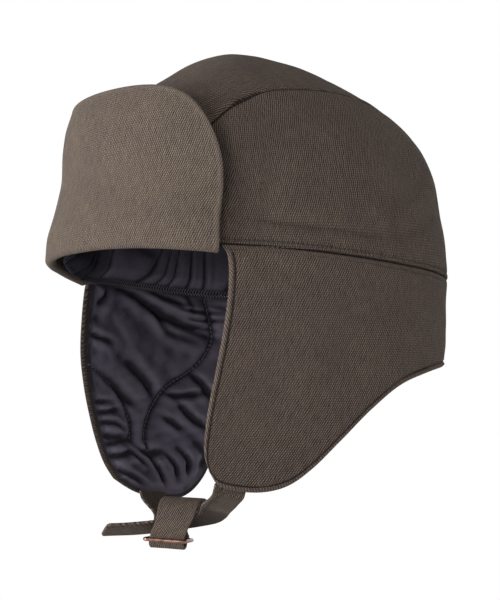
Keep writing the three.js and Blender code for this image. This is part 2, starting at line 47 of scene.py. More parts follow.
# %% [markdown]
# ## The camera
# A long lens far away keeps the hat's proportions calm, as a product photograph does. The
# camera stands to the wearer's left front and a little below the brow, looking up.

# %% Make the camera
def make_camera(azimuth, elevation, distance, target, lens):
    """Azimuth 0 is in front of the brow and 90 at the wearer's left; lengths are in metres."""
    a, e = math.radians(azimuth), math.radians(elevation)
    back = np.array([math.sin(a) * math.cos(e), -math.cos(a) * math.cos(e), math.sin(e)])
    right = np.array([math.cos(a), math.sin(a), 0.0])
    up = np.cross(back, right)
    camera = bpy.data.objects.new("camera", bpy.data.cameras.new("camera"))
    camera.data.lens = lens
    camera.data.clip_end = 50
    place = np.eye(4)
    place[:3, 0], place[:3, 1], place[:3, 2] = right, up, back
    place[:3, 3] = np.array(target) + back * distance
    camera.matrix_world = place.T.tolist()
    bpy.context.scene.collection.objects.link(camera)
    bpy.context.scene.camera = camera
    return camera

camera = make_camera(59, -7, 1.2, (0, 0, -0.017), 134.64)
print("camera at", [round(x, 3) for x in camera.matrix_world.translation])

# %% [markdown]
# ## The shape of the head
# All panels lie on two surfaces that are given in millimetres. The crown is a squared dome:
# `phi` goes round from the brow (0) past the left side (90) to the nape (180), and `z` is the
# height. Below the seam the flaps go on from the same ellipse and draw in towards the jaw.
# `inset` moves a point inward, so one formula gives every layer of the hat.

# %% Sizes shared by the panels
HALF_WIDTH, HALF_LENGTH, CENTRE_Y = 87.0, 110.0, 3.0
DOME_HEIGHT, SQUARENESS, DOME_LEAN = 101.0, 2.55, -4.0
TWILL = 1.8
MM_PER_DEGREE = math.radians(1) * 0.5 * (HALF_WIDTH + HALF_LENGTH)
MM_ROUND = 1.72  # the same, rounded, for the peak and the soft folds of the twill
ROW_HEIGHT = 2.6  # the stitched row above the crown's lower edge
SEAM_GAP = 0.12  # half the gap between the strip and a side panel
# columns: phi, z, reach in phi, reach in z, depth in mm
CROWN_FOLDS = np.array([
    (57, 46, 13, 34, 4.5), (-57, 46, 13, 34, 4.5), (118, 52, 24, 20, 2.2),
    (-112, 46, 22, 22, 2.4), (172, 40, 26, 12, 1.6),
    (140, 66, 28, 28, -2.6), (-140, 66, 28, 28, -2.6)])
CLOTH_SWELLS = np.array([
    (92, 20, 32, 7.5, 1.7), (90, 3, 34, 5, 1.0), (-98, 22, 30, 8, 1.5), (-92, 4, 34, 5, 0.9)])

def smooth(low, high, x):
    """Smooth step: 0 below low, 1 above high, and 3t2 - 2t3 between them."""
    t = np.clip((np.asarray(x, float) - low) / (high - low), 0, 1)
    return t * t * (3 - 2 * t)

def mix(a, b, t):
    """Straight blend: a where t is 0, b where t is 1."""
    return a + (b - a) * t

def bell(x, width, middle=0.0):
    """exp(-((x - middle) / width)^2): 1 at the middle, and a third one width away."""
    return np.exp(-((x - middle) / width) ** 2)

def soft_bumps(rows, phi, z):
    """Sum of depth times exp(-(dphi/reach)^2 - (dz/reach)^2) over the rows of a table."""
    total = 0.0
    for at_phi, at_z, reach_phi, reach_z, depth in rows:
        away = (phi - at_phi + 540) % 360 - 180
        total = total + depth * np.exp(-(away / reach_phi) ** 2 - ((z - at_z) / reach_z) ** 2)
    return total

def seam_drop(phi, z):
    """The crown seam dips 4.5 mm to the nape, and fades within 44 mm above and below it."""
    return -4.5 * smooth(45, 120, np.abs(phi)) * np.maximum(0, 1 - np.abs(z) / 44) ** 2

def ridge_height(x, y):
    """A soft ridge 13 mm high along the top, (1 - across^2)^2 times (1 - along^2)^2."""
    across = np.clip(np.abs(x) / 70, 0, 1)
    along = np.clip(np.where(y < -14, (-14 - y) / 52, (y + 14) / 82), 0, 1)
    return 13 * (1 - across ** 2) ** 2 * (1 - along ** 2) ** 2

def crown_point(phi, z, inset, swells=True):
    """Point of the dome: a superellipse ring of the given level, pushed in at the folds."""
    level = np.clip(z / (DOME_HEIGHT - inset), 0, 1)
    ring = (1 - level ** SQUARENESS) ** (1 / SQUARENESS)
    angle = np.radians(phi)
    front = np.maximum(0, np.cos(angle)) ** 2
    wave = np.sin(np.pi * np.clip(z / 105, 0, 1) ** 0.75)
    push = soft_bumps(CROWN_FOLDS, phi, z)
    if swells:
        push = push - soft_bumps(CLOTH_SWELLS, phi, z)
    x = ((HALF_WIDTH - inset) * ring - push) * np.sin(angle)
    lean = DOME_LEAN * level ** 2 + 7.5 * front * wave
    y = CENTRE_Y + lean - ((HALF_LENGTH - inset) * ring - push) * np.cos(angle)
    return np.stack([x, y, z + ridge_height(x, y) + seam_drop(phi, z)], -1)

def crown_by_turn(x, turn, inset):
    """phi and z of the dome point at distance x from the middle, turned from brow to nape."""
    across = np.clip((x / (HALF_WIDTH - inset)) ** 2, 0, 1)
    swing = np.cos(np.radians(turn))
    ring = np.sqrt(across + (1 - across) * swing ** 2)
    level = np.maximum(0, 1 - ring ** SQUARENESS) ** (1 / SQUARENESS)
    phi = np.degrees(np.arctan2(x / (HALF_WIDTH - inset), np.sqrt(1 - across) * swing))
    return phi, level * (DOME_HEIGHT - inset)

def flap_point(side, phi, z, inset):
    """Point of a flap: the brow ellipse, 40 % narrower at the foot by the square of depth."""
    depth = np.maximum(0, -z / 124)
    angle = np.radians(phi)
    x = np.maximum(0, (HALF_WIDTH * (1 - 0.4 * depth ** 2) - inset) * np.sin(angle))
    y = CENTRE_Y - (HALF_LENGTH * (1 - 0.02 * depth) - inset) * np.cos(angle)
    return np.stack([side * x, y, z + seam_drop(phi, z)], -1)

print("brow ellipse", 2 * HALF_WIDTH, "x", 2 * HALF_LENGTH, "mm")

# %% [markdown]
# ## Curves through points
# Flap outlines and strap routes run through a few measured points. A Catmull-Rom curve goes
# through every point, and its centripetal kind makes no loops where points lie close.

# %% Curves
def lengths(line):
    """Length along a line of points, counted from its first point."""
    return np.concatenate([[0], np.cumsum(np.linalg.norm(np.diff(line, axis=0), axis=1))])

def catmull(points, t, centripetal=True):
    """Catmull-Rom curve through the points, t from 0 to 1, as a cubic in each span."""
    p = np.asarray(points, float)
    p = np.vstack([2 * p[0] - p[1], p, 2 * p[-1] - p[-2]])
    along = np.clip(t, 0, 1) * (len(p) - 3)
    i = np.clip(np.floor(along).astype(int), 0, len(p) - 4)
    w = (along - i)[..., None]
    p0, p1, p2, p3 = p[i], p[i + 1], p[i + 2], p[i + 3]
    if centripetal:
        d0, d1, d2 = (np.maximum(np.linalg.norm(b - a, axis=-1, keepdims=True) ** 0.5, 1e-4)
                      for a, b in ((p0, p1), (p1, p2), (p2, p3)))
        m1 = ((p1 - p0) / d0 - (p2 - p0) / (d0 + d1) + (p2 - p1) / d1) * d1
        m2 = ((p2 - p1) / d1 - (p3 - p1) / (d1 + d2) + (p3 - p2) / d2) * d1
    else:
        m1, m2 = 0.5 * (p2 - p0), 0.5 * (p3 - p1)
    c2, c3 = -3 * p1 + 3 * p2 - 2 * m1 - m2, 2 * p1 - 2 * p2 + m1 + m2
    return p1 + m1 * w + c2 * w ** 2 + c3 * w ** 3

def even_curve(points, share):
    """The same curve, but share counts its length evenly."""
    t = np.linspace(0, 1, 401)
    line = catmull(points, t)
    length = lengths(line)
    return catmull(points, np.interp(np.clip(share, 0, 1) * length[-1], length, t))

def edge_spaced(length, step, edge=(0, 0.12, 0.35, 0.7, 1.15, 1.8, 2.6, 3.6)):
    """Shares from 0 to 1 along a length: close steps at both ends and even ones between."""
    edge = np.array(edge)
    count = max(2, round((length - 2 * edge[-1]) / step))
    inner = np.linspace(edge[-1], length - edge[-1], count + 1)
    return np.concatenate([edge[:-1], inner, (length - edge[:-1])[::-1]]) / length

def distance_to_line(u, v, points):
    """Shortest distance from each (u, v) to a line through the points."""
    best = np.full(np.shape(u), 1e9)
    for (u0, v0), (u1, v1) in zip(points[:-1], points[1:]):
        du, dv = u1 - u0, v1 - v0
        t = np.clip(((u - u0) * du + (v - v0) * dv) / (du * du + dv * dv), 0, 1)
        best = np.minimum(best, np.hypot(u - u0 - t * du, v - v0 - t * dv))
    return best

def nearest_on_line(u, v, points):
    """Shortest distance to a line through the points, and how far along it the nearest is."""
    best, along, start = np.full(np.shape(u), 1e9), np.zeros(np.shape(u)), 0.0
    for (u0, v0), (u1, v1) in zip(points[:-1], points[1:]):
        du, dv = u1 - u0, v1 - v0
        step = math.hypot(du, dv)
        t = np.clip(((u - u0) * du + (v - v0) * dv) / (step * step), 0, 1)
        away = np.hypot(u - u0 - t * du, v - v0 - t * dv)
        along = np.where(away < best, start + t * step, along)
        best = np.minimum(best, away)
        start += step
    return best, along

def waves(u, v, wavelength, seed):
    """Soft noise from -1 to 1: a sum of sine waves in random directions, about one length."""
    rng = np.random.default_rng(seed)
    count, total = 9, 0.0
    for _ in range(count):
        turn, phase = rng.uniform(0, 2 * np.pi, 2)
        k = 2 * np.pi / (wavelength * rng.uniform(0.7, 1.5))
        total = total + np.sin(k * (u * np.cos(turn) + v * np.sin(turn)) + phase)
    return total / count ** 0.5 / 1.6

print("edge steps of a 100 mm panel:", len(edge_spaced(100, 1.6)))

# %% [markdown]
# ## From grids to meshes
# A panel becomes a closed mesh of quads. Points that fall together are merged, so that rolled
# edges and pointed ends close by themselves, and faces that lose a side become triangles.
# The UV map holds the flat cut in millimetres, so a weave runs straight along the cloth.

# %% Mesh building
def closed_mesh(name, points, quads, uv, edge=None, seam=None):
    """Merges equal points, drops lost corners, turns the faces outward and makes the object.
    edge paints wear, light and shade into the cloth: on twill above 0 is wear with a little
    painted light and -1 is painted shade; on satin 1 is painted shade in a hollow and -1 a painted
    highlight on a ridge. seam holds the place along a stitched row and off it, in mm."""
    points, quads = points.reshape(-1, 3), quads.reshape(-1, 4)
    key = np.round(points * 2000).astype(np.int64)
    _, first, index = np.unique(key, axis=0, return_index=True, return_inverse=True)
    index = index.reshape(-1)
    a, b, c, d = (points[quads[:, k]] for k in range(4))
    volume = (a * np.cross(b, c)).sum() + (a * np.cross(c, d)).sum()
    if volume < 0:
        quads = quads[:, ::-1]
    corners = index[quads]
    keep = corners != np.roll(corners, -1, axis=1)
    whole = keep.sum(1) >= 3
    whole &= (corners[:, 0] != corners[:, 2]) & (corners[:, 1] != corners[:, 3])
    keep &= whole[:, None]
    totals = keep.sum(1)[whole]
    loops, source = corners[keep], quads[keep]
    mesh = bpy.data.meshes.new(name)
    mesh.vertices.add(len(first))
    mesh.vertices.foreach_set("co", (points[first] * 0.001).astype(np.float32).ravel())
    mesh.loops.add(len(loops))
    mesh.loops.foreach_set("vertex_index", loops.astype(np.int32))
    mesh.polygons.add(len(totals))
    starts = np.concatenate([[0], np.cumsum(totals)[:-1]])
    mesh.polygons.foreach_set("loop_start", starts.astype(np.int32))
    layer = mesh.uv_layers.new(name="cloth")
    layer.data.foreach_set("uv", uv.reshape(-1, 2)[source].astype(np.float32).ravel())
    mask = np.zeros(len(points)) if edge is None else np.broadcast_to(edge, len(points)).ravel()
    attribute = mesh.attributes.new("edge", "FLOAT", "POINT")
    attribute.data.foreach_set("value", mask[first].astype(np.float32))
    rows = np.tile((0.0, 20.0, 0.0), (len(points), 1))
    if seam is not None:
        rows[:, 0], rows[:, 1] = seam[0].ravel(), np.clip(seam[1].ravel(), -20, 20)
    attribute = mesh.attributes.new("seam", "FLOAT_VECTOR", "POINT")
    attribute.data.foreach_set("vector", rows[first].astype(np.float32).ravel())
    mesh.polygons.foreach_set("use_smooth", np.ones(len(totals), bool))
    mesh.update(calc_edges=True)
    mesh.validate()
    made = bpy.data.objects.new(name, mesh)
    bpy.context.scene.collection.objects.link(made)
    return made

def grid_quads(rows, columns, offset=0):
    """Corner numbers of the quads of a grid, row by row."""
    at = offset + np.arange(rows * columns).reshape(rows, columns)
    return np.stack([at[:-1, :-1], at[:-1, 1:], at[1:, 1:], at[1:, :-1]], -1).reshape(-1, 4)

def edge_distances(points):
    """Distance in mm along the cloth from each grid point to the left, right, top, bottom."""
    across = np.linalg.norm(np.diff(points, axis=1), axis=-1)
    down = np.linalg.norm(np.diff(points, axis=0), axis=-1)
    left = np.pad(np.cumsum(across, 1), ((0, 0), (1, 0)))
    top = np.pad(np.cumsum(down, 0), ((1, 0), (0, 0)))
    return left, left[:, -1:] - left, top, top[-1:] - top

def rolled(distance, radius):
    """1 at the cloth's edge and 0 from radius on, along a quarter circle."""
    return 1 - np.sqrt(1 - (1 - np.clip(distance / radius, 0, 1)) ** 2)

def panel(name, surface, s_values, v_values, uv_of, relief=None, meet=1.4, radius=0.9,
          inner=None, row=None, sewn=(0, 1, 2, 3), edge_tone=1.0, painted_light_and_shade=None):
    """A cloth wall: an outer sheet and one 1.8 mm further in, rolled together at the edges.
    surface(s, v, inset) gives points, uv_of(s, v) the flat cut in mm, relief the outward
    shape in mm, inner the inset of the inner sheet and row the places of its stitches.
    The edge attribute takes edge_tone at a free edge, lighter with wear above 0 and painted
    shade below 0, and -0.85, painted shade in the seam's groove, at an edge that is sewn. With
    inner, the inner sheet is painted dark as shade, and painted_light_and_shade(s, v) adds painted
    light and shade to the attribute."""
    s, v = np.meshgrid(s_values, v_values)
    distances = edge_distances(surface(s, v, 0 * s))
    nearest = np.minimum.reduce(distances)
    roll = rolled(nearest, radius)
    flat = uv_of(s, v)
    out = relief(s, v, flat, distances) if relief else 0 * s
    thick = inner(nearest) if inner else TWILL + 0 * s
    outside = surface(s, v, meet * roll - out * (1 - roll))
    inside = surface(s, v, mix(thick, meet, roll))
    rows, columns = s.shape
    quads = np.concatenate([
        grid_quads(rows, columns), grid_quads(rows, columns, rows * columns)[:, ::-1]])
    points = np.concatenate([outside.reshape(-1, 3), inside.reshape(-1, 3)])
    seams = np.minimum.reduce([distances[k] for k in sewn])
    # free edges: above 0 this is wear, below 0 (the right flap's rim) it is painted shade
    free_edge_tone = edge_tone * (1 - smooth(0.5, 3.2, nearest))
    # a sewn edge is painted near black as the shade in the seam's groove
    edge = np.where(seams < 4, 0.85 * smooth(0.2, 0.8, seams) - 0.85, free_edge_tone)
    if painted_light_and_shade:
        edge = np.clip(edge + painted_light_and_shade(s, v), -1, 1)
    within = edge
    if inner:
        # painted shade in the groove inside the hem, and on the inner sheet painted shade with a lighter line
        edge = edge - 0.9 * bell(nearest, 0.45, 3.2) * (seams > 4)
        shade = 0.45 * bell(nearest, 0.5, 1.7) - 0.85
        within = mix(edge, shade, smooth(0.1, 0.8, nearest))
        fold = smooth(3.0, 3.3, nearest)[..., None]
        turned = flat @ np.array([[0.62, -0.78], [0.78, 0.62]])
        flat = mix(turned, flat, fold)
    edge = np.concatenate([edge.ravel(), within.ravel()])
    seam = [np.concatenate([part.ravel()] * 2) for part in row(flat, distances)] if row else None
    both = np.concatenate([flat.reshape(-1, 2)] * 2)
    made = closed_mesh(name, points, quads, both, edge, seam)
    print(name, len(made.data.polygons), "faces")
    return made

def rim_row(flat, distances):
    """A stitched row 2.6 mm above the lower edge."""
    return flat[..., 0], distances[3] - ROW_HEIGHT

def dress(made, node, slot, *others):
    """Rides the piece on the hat and lets it stand for its CAD node."""
    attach(made, "root")
    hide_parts(node, *others)

# %% [markdown]
# ## The crown
# The real crown is a strip from brow to nape and a panel on each side. Their edges turn
# inward where they are sewn, which leaves a thin dark groove, and the cloth lies in soft
# dents between. A row of topstitching above the lower seam draws the cloth in, and small
# puckers stand between its stitches.

# %% Flat cut of the crown
_turns = np.radians(np.linspace(0, 180, 721))
_arc = np.concatenate([[0], np.cumsum(np.hypot(
    HALF_WIDTH * np.diff(np.sin(_turns)), HALF_LENGTH * np.diff(np.cos(_turns))))])
_heights = np.linspace(0, 100.9, 500)
_rings = HALF_WIDTH * (1 - (_heights / DOME_HEIGHT) ** SQUARENESS) ** (1 / SQUARENESS)
_climb = np.concatenate([[0], np.cumsum(np.hypot(np.diff(_heights), np.diff(_rings)))])

def side_cut(phi, z):
    """Flat cut of a side panel: length round the head from its middle, and length upward."""
    ring = (1 - np.clip(z / DOME_HEIGHT, 0, 1) ** SQUARENESS) ** (1 / SQUARENESS)
    round_it = np.interp(np.abs(phi), np.degrees(_turns), _arc) - np.interp(90, np.degrees(_turns), _arc)
    return np.stack([round_it * ring * np.sign(phi), np.interp(z, _heights, _climb)], -1)

# the crease above the seam by phi, the fold at the rear, and dents: phi, z, reaches and depth
CREASE_PHI = [60, 66, 73, 82, 92, 98, 106, 118]
CREASE_Z = [14, 12.8, 11.5, 10.8, 10.5, 10.2, 10.8, 12.5]
REAR_FOLD = [(139 * MM_ROUND, 45), (128 * MM_ROUND, 31), (112 * MM_ROUND, 19)]
SHALLOW_DENTS = [(88, 74, 13, 7, 1.1), (114, 13, 8, 7, 1.1), (150, 30, 14, 16, 1.0)]
DEEP_DENTS = [(62, 40, 5.5, 36, 3.2), (50, 62, 9, 16, 2.4), (122, 52, 6, 24, 1.4), (100, 40, 8, 22, -0.8)]

def side_relief(side):
    """Outward shape of a side panel: seam ridge, stitch groove, puckers, crease and dents."""
    def relief(s, v, flat, distances):
        phi, z = side_place(side, s, v)
        u, low = flat[..., 0], distances[3]
        shape = 0.35 * smooth(0.6, 1.4, low) * (1 - smooth(2.0, 3.2, low))
        shape = shape - 0.55 * bell(low, 0.6, ROW_HEIGHT)
        pucker = np.sin(u * 2 * np.pi / 5.3 + 1.4 * np.sin(u / 7.0)) * bell(low, 2.4, ROW_HEIGHT)
        ripple = np.sin(u * 2 * np.pi / 11.7 + 2.2 * np.sin(u / 19.0)) * bell(low, 4.5, 4.5)
        shape = shape + 0.22 * pucker + 0.2 * ripple
        a = np.abs(phi)
        crease = np.interp(a, CREASE_PHI, CREASE_Z)
        window = smooth(58, 68, a) * (1 - smooth(98, 118, a))
        shape = shape - 1.15 * window * bell(z, 1.9, crease)
        shape = shape + 0.55 * window * bell(z - crease, 3.2, 4.5)
        fold = distance_to_line(a * MM_ROUND, z, REAR_FOLD)
        shape = shape + 0.9 * bell(fold, 6.5)
        shape = shape - soft_bumps(SHALLOW_DENTS, a, z)
        shape = shape - soft_bumps(DEEP_DENTS, a, z)
        calm = smooth(1.0, 12, np.minimum.reduce(distances))
        w = flat[..., 1]
        shape = shape + calm * (0.42 * waves(u, w, 34, 5 + side) + 0.16 * waves(u, w, 15, 9 + side))
        top = distances[2]
        return shape + 0.3 * smooth(1.0, 2.2, top) * (1 - smooth(3.5, 7.5, top))
    return relief

def side_painted_light_and_shade(side):
    """Painted shade in the crease above the seam and painted shadow of the peak beside it, with
    painted light on the band above the crease and on the rear fold's ridge, and painted shade
    beside that fold.
    """
    def painted_light_and_shade(s, v):
        phi, z = side_place(side, s, v)
        a = np.abs(phi)
        crease = np.interp(a, CREASE_PHI, CREASE_Z)
        window = smooth(58, 68, a) * (1 - smooth(96, 112, a))
        fold = distance_to_line(a * MM_ROUND, z, REAR_FOLD)
        shade = 0.2 * bell(z - crease, 1.6, 2.6) - 0.42 * bell(z, 1.1, crease)
        beside = a - 55 * (1 - np.clip(z / 84, 0, 1) ** 2.6) ** 0.2
        shade = window * shade - 0.42 * (1 - smooth(0, 9, beside)) * (1 - smooth(70, 84, z))
        return shade - 0.16 * bell(fold, 4, 8) + 0.1 * bell(fold, 4)
    return painted_light_and_shade

def strip_half_width(turn):
    """50 mm at the brow, 58 mm over the top at a turn of 80 degrees and 26 mm at the nape."""
    front = mix(50, 58, np.sin(np.radians(np.clip(turn / 80, 0, 1) * 90)))
    rear = mix(26, 58, np.cos(np.radians(np.clip((turn - 80) / 100, 0, 1) * 90)) ** 2)
    return np.where(turn < 80, front, rear)

def side_place(side, s, v):
    """phi and z of a side panel: s is the turn along its upper seam, v goes down to the rim."""
    phi, z = crown_by_turn(strip_half_width(s) + SEAM_GAP, s, 0)
    return side * phi, z * (1 - v)

def side_surface(side):
    """The dome between the strip's seam and the rim; the rim stands 0.15 mm off the flaps."""
    def surface(s, v, inset):
        phi, z = crown_by_turn(strip_half_width(s) + SEAM_GAP, s, inset)
        point = crown_point(side * phi, z * (1 - v), inset)
        point[..., 2] += 0.15
        return point
    return surface

def turns_along_seam(step):
    """Turns that step evenly along the seam between strip and side panel."""
    turn = np.linspace(3, 177, 500)
    phi, z = crown_by_turn(strip_half_width(turn), turn, 0)
    line = crown_point(phi, z, 0)
    length = lengths(line)
    return np.interp(edge_spaced(length[-1], step) * length[-1], length, turn)

# %% Side panels
crown_sides = []
for side, word in ((1, "left"), (-1, "right")):
    made = panel(
        f"crown_side_{word}_cloth", side_surface(side), turns_along_seam(1.7),
        edge_spaced(100, 1.55), lambda s, v: side_cut(*side_place(side, s, v)),
        side_relief(side), row=rim_row, painted_light_and_shade=side_painted_light_and_shade(side))
    dress(made, f"crown_side_{word}", "twill")
    crown_sides.append(made)

# %% Centre strip
def strip_surface(s, v, inset):
    """s goes across from -1 to 1, v is the turn from brow to nape."""
    x = s * (strip_half_width(v) - SEAM_GAP)
    phi, z = crown_by_turn(np.abs(x), v, inset)
    point = crown_point(np.where(x < 0, -phi, phi), z, inset)
    point[..., 2] += np.where((v <= 1.6) | (v >= 180), 0.18, 0)
    return point

def strip_cut(s, v):
    """Flat cut of the strip: millimetres across, and length along its middle line."""
    turn = np.linspace(0, 180, 400)
    line = strip_surface(0 * turn, turn, 0 * turn)
    length = lengths(line)
    return np.stack([s * strip_half_width(v) * 1.03, np.interp(v, turn, length)], -1)

def strip_relief(s, v, flat, distances):
    """Soft dents, a raised seam allowance at both long edges and puckers above the nape."""
    u, w = flat[..., 0], flat[..., 1]
    side = np.minimum(distances[0], distances[1])
    low = distances[3]
    shape = 0.35 * smooth(1.0, 2.2, side) * (1 - smooth(3.5, 7.5, side))
    shape = shape + 0.35 * smooth(0.6, 1.4, low) * (1 - smooth(2.0, 3.2, low))
    shape = shape - 0.55 * bell(low, 0.6, ROW_HEIGHT)
    shape = shape + 0.22 * np.sin(u * 2 * np.pi / 5.3) * bell(low, 2.4, ROW_HEIGHT)
    shape = shape + 0.2 * np.sin(w * 2 * np.pi / 17 + 2 * np.sin(w / 23)) * bell(side, 5)
    phi, z = crown_by_turn(np.abs(s) * strip_half_width(v), v, 0)
    shape = shape - soft_bumps([(48, 64, 9, 14, 2.0), (36, 66, 12, 12, 1.5)], np.where(s > 0, phi, -phi), z)
    calm = smooth(1.0, 12, np.minimum.reduce(distances))
    return shape + calm * (0.45 * waves(u, w, 38, 21) + 0.14 * waves(u, w, 16, 22))

def strip_painted_shade(s, v):
    """Painted shade where the peak shades the strip, up to a turn of about 60 degrees."""
    return -0.2 * (1 - smooth(45, 80, v))

strip_turns = np.interp(edge_spaced(360, 1.8) * 360, np.linspace(0, 360, 361), np.linspace(1.6, 180, 361))
crown_strip = panel(
    "crown_strip_cloth", strip_surface, 2 * edge_spaced(108, 1.8) - 1, strip_turns,
    strip_cut, strip_relief, row=rim_row, painted_light_and_shade=strip_painted_shade)
dress(crown_strip, "crown_centre_strip", "twill")

# %% [markdown]
# ## The peak
# Two layers of twill over a stiffener, turned up against the crown. Its lower edge is a thick
# soft fold, its other edges are sewn, turned and topstitched 2.8 mm in. The profile of each
# column is a closed loop: up the front, over the edge, down the back and round the fold.

# %% Peak
PEAK_HEIGHT, PEAK_HALF_ANGLE = 84.0, 55.0
LEAN_Z = [-6, 0, 12, 27, 42, 60, 70, 84]
LEAN_Y = [0, 0, 1, 6, 10, 10.6, 12, 17]

def peak_point(phi, z, inward):
    """The front face stands 6 mm off the crown and leans back as the table of z says."""
    fine = np.linspace(-6, 84, 91)
    lean = np.interp(fine, LEAN_Z, LEAN_Y)
    soften = np.hanning(15) / np.hanning(15).sum()
    lean = np.convolve(np.pad(lean, 7, mode="reflect", reflect_type="odd"), soften, "valid")
    angle = np.radians(phi)
    x = (HALF_WIDTH + 6 - inward) * np.sin(angle)
    y = CENTRE_Y - (HALF_LENGTH + 6 - np.interp(z, fine, lean) - inward) * np.cos(angle)
    return np.stack([x, y, z + 0 * x], -1)

def peak_top(share):
    """Height of the outline: 84 (1 - share^5)^(1/2.6)."""
    return PEAK_HEIGHT * np.maximum(0, 1 - np.abs(share) ** 5) ** (1 / 2.6)

def even_peak_shares(count):
    """Shares from -1 to 1 that step evenly along the outline."""
    q = np.linspace(0, 1, 4001)
    share = 1 - (1 - q) ** 3
    line = np.hypot(np.diff(share * PEAK_HALF_ANGLE * MM_ROUND), np.diff(peak_top(share)))
    length = np.concatenate([[0], np.cumsum(line)])
    half = np.interp(np.linspace(0, length[-1], count), length, share)
    return np.concatenate([-half[:0:-1], half])

def make_peak():
    """Front, fold and back of the peak as one loop of rows. Both faces meet halfway through
    the thickness at the outline, and the thickness grows from 2.6 to 5.6 mm at the fold."""
    share = even_peak_shares(95)
    rows = edge_spaced(90, 1.6)[7:]
    rows = (rows - rows[0]) / (rows[-1] - rows[0])
    s, h = np.meshgrid(share, rows)
    bottom, top = -4.2 * np.abs(s) ** 3 + 1.5, peak_top(s)
    z = mix(bottom, np.maximum(top, bottom + 0.02), h)
    phi = s * PEAK_HALF_ANGLE
    u, w = phi * MM_ROUND, z
    rim_s = np.concatenate([share, [-1] * 12, [1] * 12])
    low = np.concatenate([peak_top(share), np.linspace(-2.7, 0, 12), np.linspace(-2.7, 0, 12)])
    distance = np.hypot(u[..., None] - rim_s * MM_ROUND * PEAK_HALF_ANGLE, w[..., None] - low).min(-1)
    roll = rolled(distance, 1.3)
    stitched = 0.1 * smooth(0.6, 1.4, distance) * (1 - smooth(2.2, 3.2, distance))
    stitched = stitched - 0.14 * bell(distance, 0.6, 2.8)
    calm = smooth(1, 14, distance)
    body = calm * (0.4 * waves(u, w, 42, 31) + 0.12 * waves(u, w, 17, 32))
    thickness = mix(5.6, 2.6, smooth(0, 16, z - bottom + 1.5))
    front = 1.3 * roll - (stitched + body) * (1 - roll)
    back = mix(thickness, 1.3, roll) + stitched * (1 - roll)
    outside, inside = peak_point(phi, z, front), peak_point(phi, z, back)
    bend = np.radians(np.linspace(0, 180, 11))[1:-1, None]
    half = (back[0] - front[0]) / 2
    under = peak_point(phi[0] + 0 * bend, z[0] - half * np.sin(bend), front[0] + half * (1 - np.cos(bend)))
    loop = np.concatenate([outside[::-1], under, inside])
    under_v = w[0] - half * np.sin(bend) - half * bend
    flat_v = np.concatenate([w[::-1], under_v, -w - 12])
    flat = np.stack([np.broadcast_to(u[0], flat_v.shape), flat_v], -1)
    edge_tone = 1 - smooth(0.5, 3.4, distance)
    # painted shade on the back face, low down where it faces the crown
    painted_shade = edge_tone - 0.85 * smooth(0.2, 1.5, distance) * (1 - smooth(16, 40, z))
    # painted shade under the fold, darkening towards the back face
    turned = -0.75 * smooth(70, 180, np.degrees(bend)) + 0 * under[..., 0]
    edge = np.concatenate([edge_tone[::-1], turned, painted_shade])
    made = closed_mesh("peak_cloth", loop, grid_quads(*loop.shape[:2]), flat, edge.ravel())
    print("peak_cloth", len(made.data.polygons), "faces")
    return made

peak = make_peak()
dress(peak, "peak", "twill")

# %% [markdown]
# ## The ear flaps
# Each flap is one panel from the front edge round to the nape. Its outline is two curves, and
# a Coons patch fills the space between them: every inner point blends the four edges. Along
# the free edges the twill is folded in, so the rim is thick and round with a shallow groove.

# %% Flap outlines
FLAP_FRONT = np.array([  # z, left phi, right phi
    (0, 55.2, 53), (-4, 56.7, 52.6), (-9, 57.3, 51.6), (-24, 57.4, 49.6), (-45, 56.5, 47.5),
    (-63, 55.5, 48), (-78, 54.8, 49.4), (-91, 54.8, 51), (-103, 55.7, 53.4), (-112, 58.3, 57)])
FLAP_BOTTOM = np.array([  # z, left phi, right phi
    (-112, 58.3, 57), (-118.5, 62, 64.5), (-121.4, 69, 72.5), (-121.4, 77, 80), (-118, 83.4, 85),
    (-109.5, 89.3, 90.8), (-95.5, 96.2, 96.8), (-79.5, 104.6, 104.6), (-66, 115, 115),
    (-58, 128.5, 128.5), (-52, 148, 148), (-48.5, 180, 180)])
FLAP_DENTS = [(100, -40, 12, 16, 1.0), (72, -62, 8, 26, 0.8), (120, -22, 16, 9, 0.8),
              (84, -98, 9, 12, 0.7), (93, -44, 5, 20, 1.3), (82, -75, 4, 24, -0.9)]

def flap_patch(side, s, v):
    """Coons patch in (phi, z): s from the front edge to the nape, v from the seam down."""
    column = 1 if side > 0 else 2
    front = np.stack([FLAP_FRONT[:, column] * MM_PER_DEGREE, FLAP_FRONT[:, 0]], -1)
    low = np.stack([FLAP_BOTTOM[:, column] * MM_PER_DEGREE, FLAP_BOTTOM[:, 0]], -1)
    edge, foot = even_curve(front, v), even_curve(low, s)
    edge_phi, foot_phi = edge[..., 0] / MM_PER_DEGREE, foot[..., 0] / MM_PER_DEGREE
    start, corner_phi, corner_z = FLAP_FRONT[0, column], FLAP_FRONT[-1, column], -112.0
    phi = mix(mix(start, 180, s), foot_phi, v) + mix(edge_phi, 180, s)
    phi = phi - mix(mix(start, 180, s), mix(corner_phi, 180, s), v)
    z = foot[..., 1] * v + mix(edge[..., 1], -48.5 * v, s) - mix(corner_z, -48.5, s) * v
    return phi, z

def flap_cut(side, s, v):
    """Flat cut of a flap: millimetres round the head from the ear, and millimetres up."""
    phi, z = flap_patch(side, s, v)
    narrow = 1 - 0.2 * np.clip(-z / 124, 0, 1) ** 2
    return np.stack([side * (phi - 90) * MM_PER_DEGREE * narrow, z], -1)

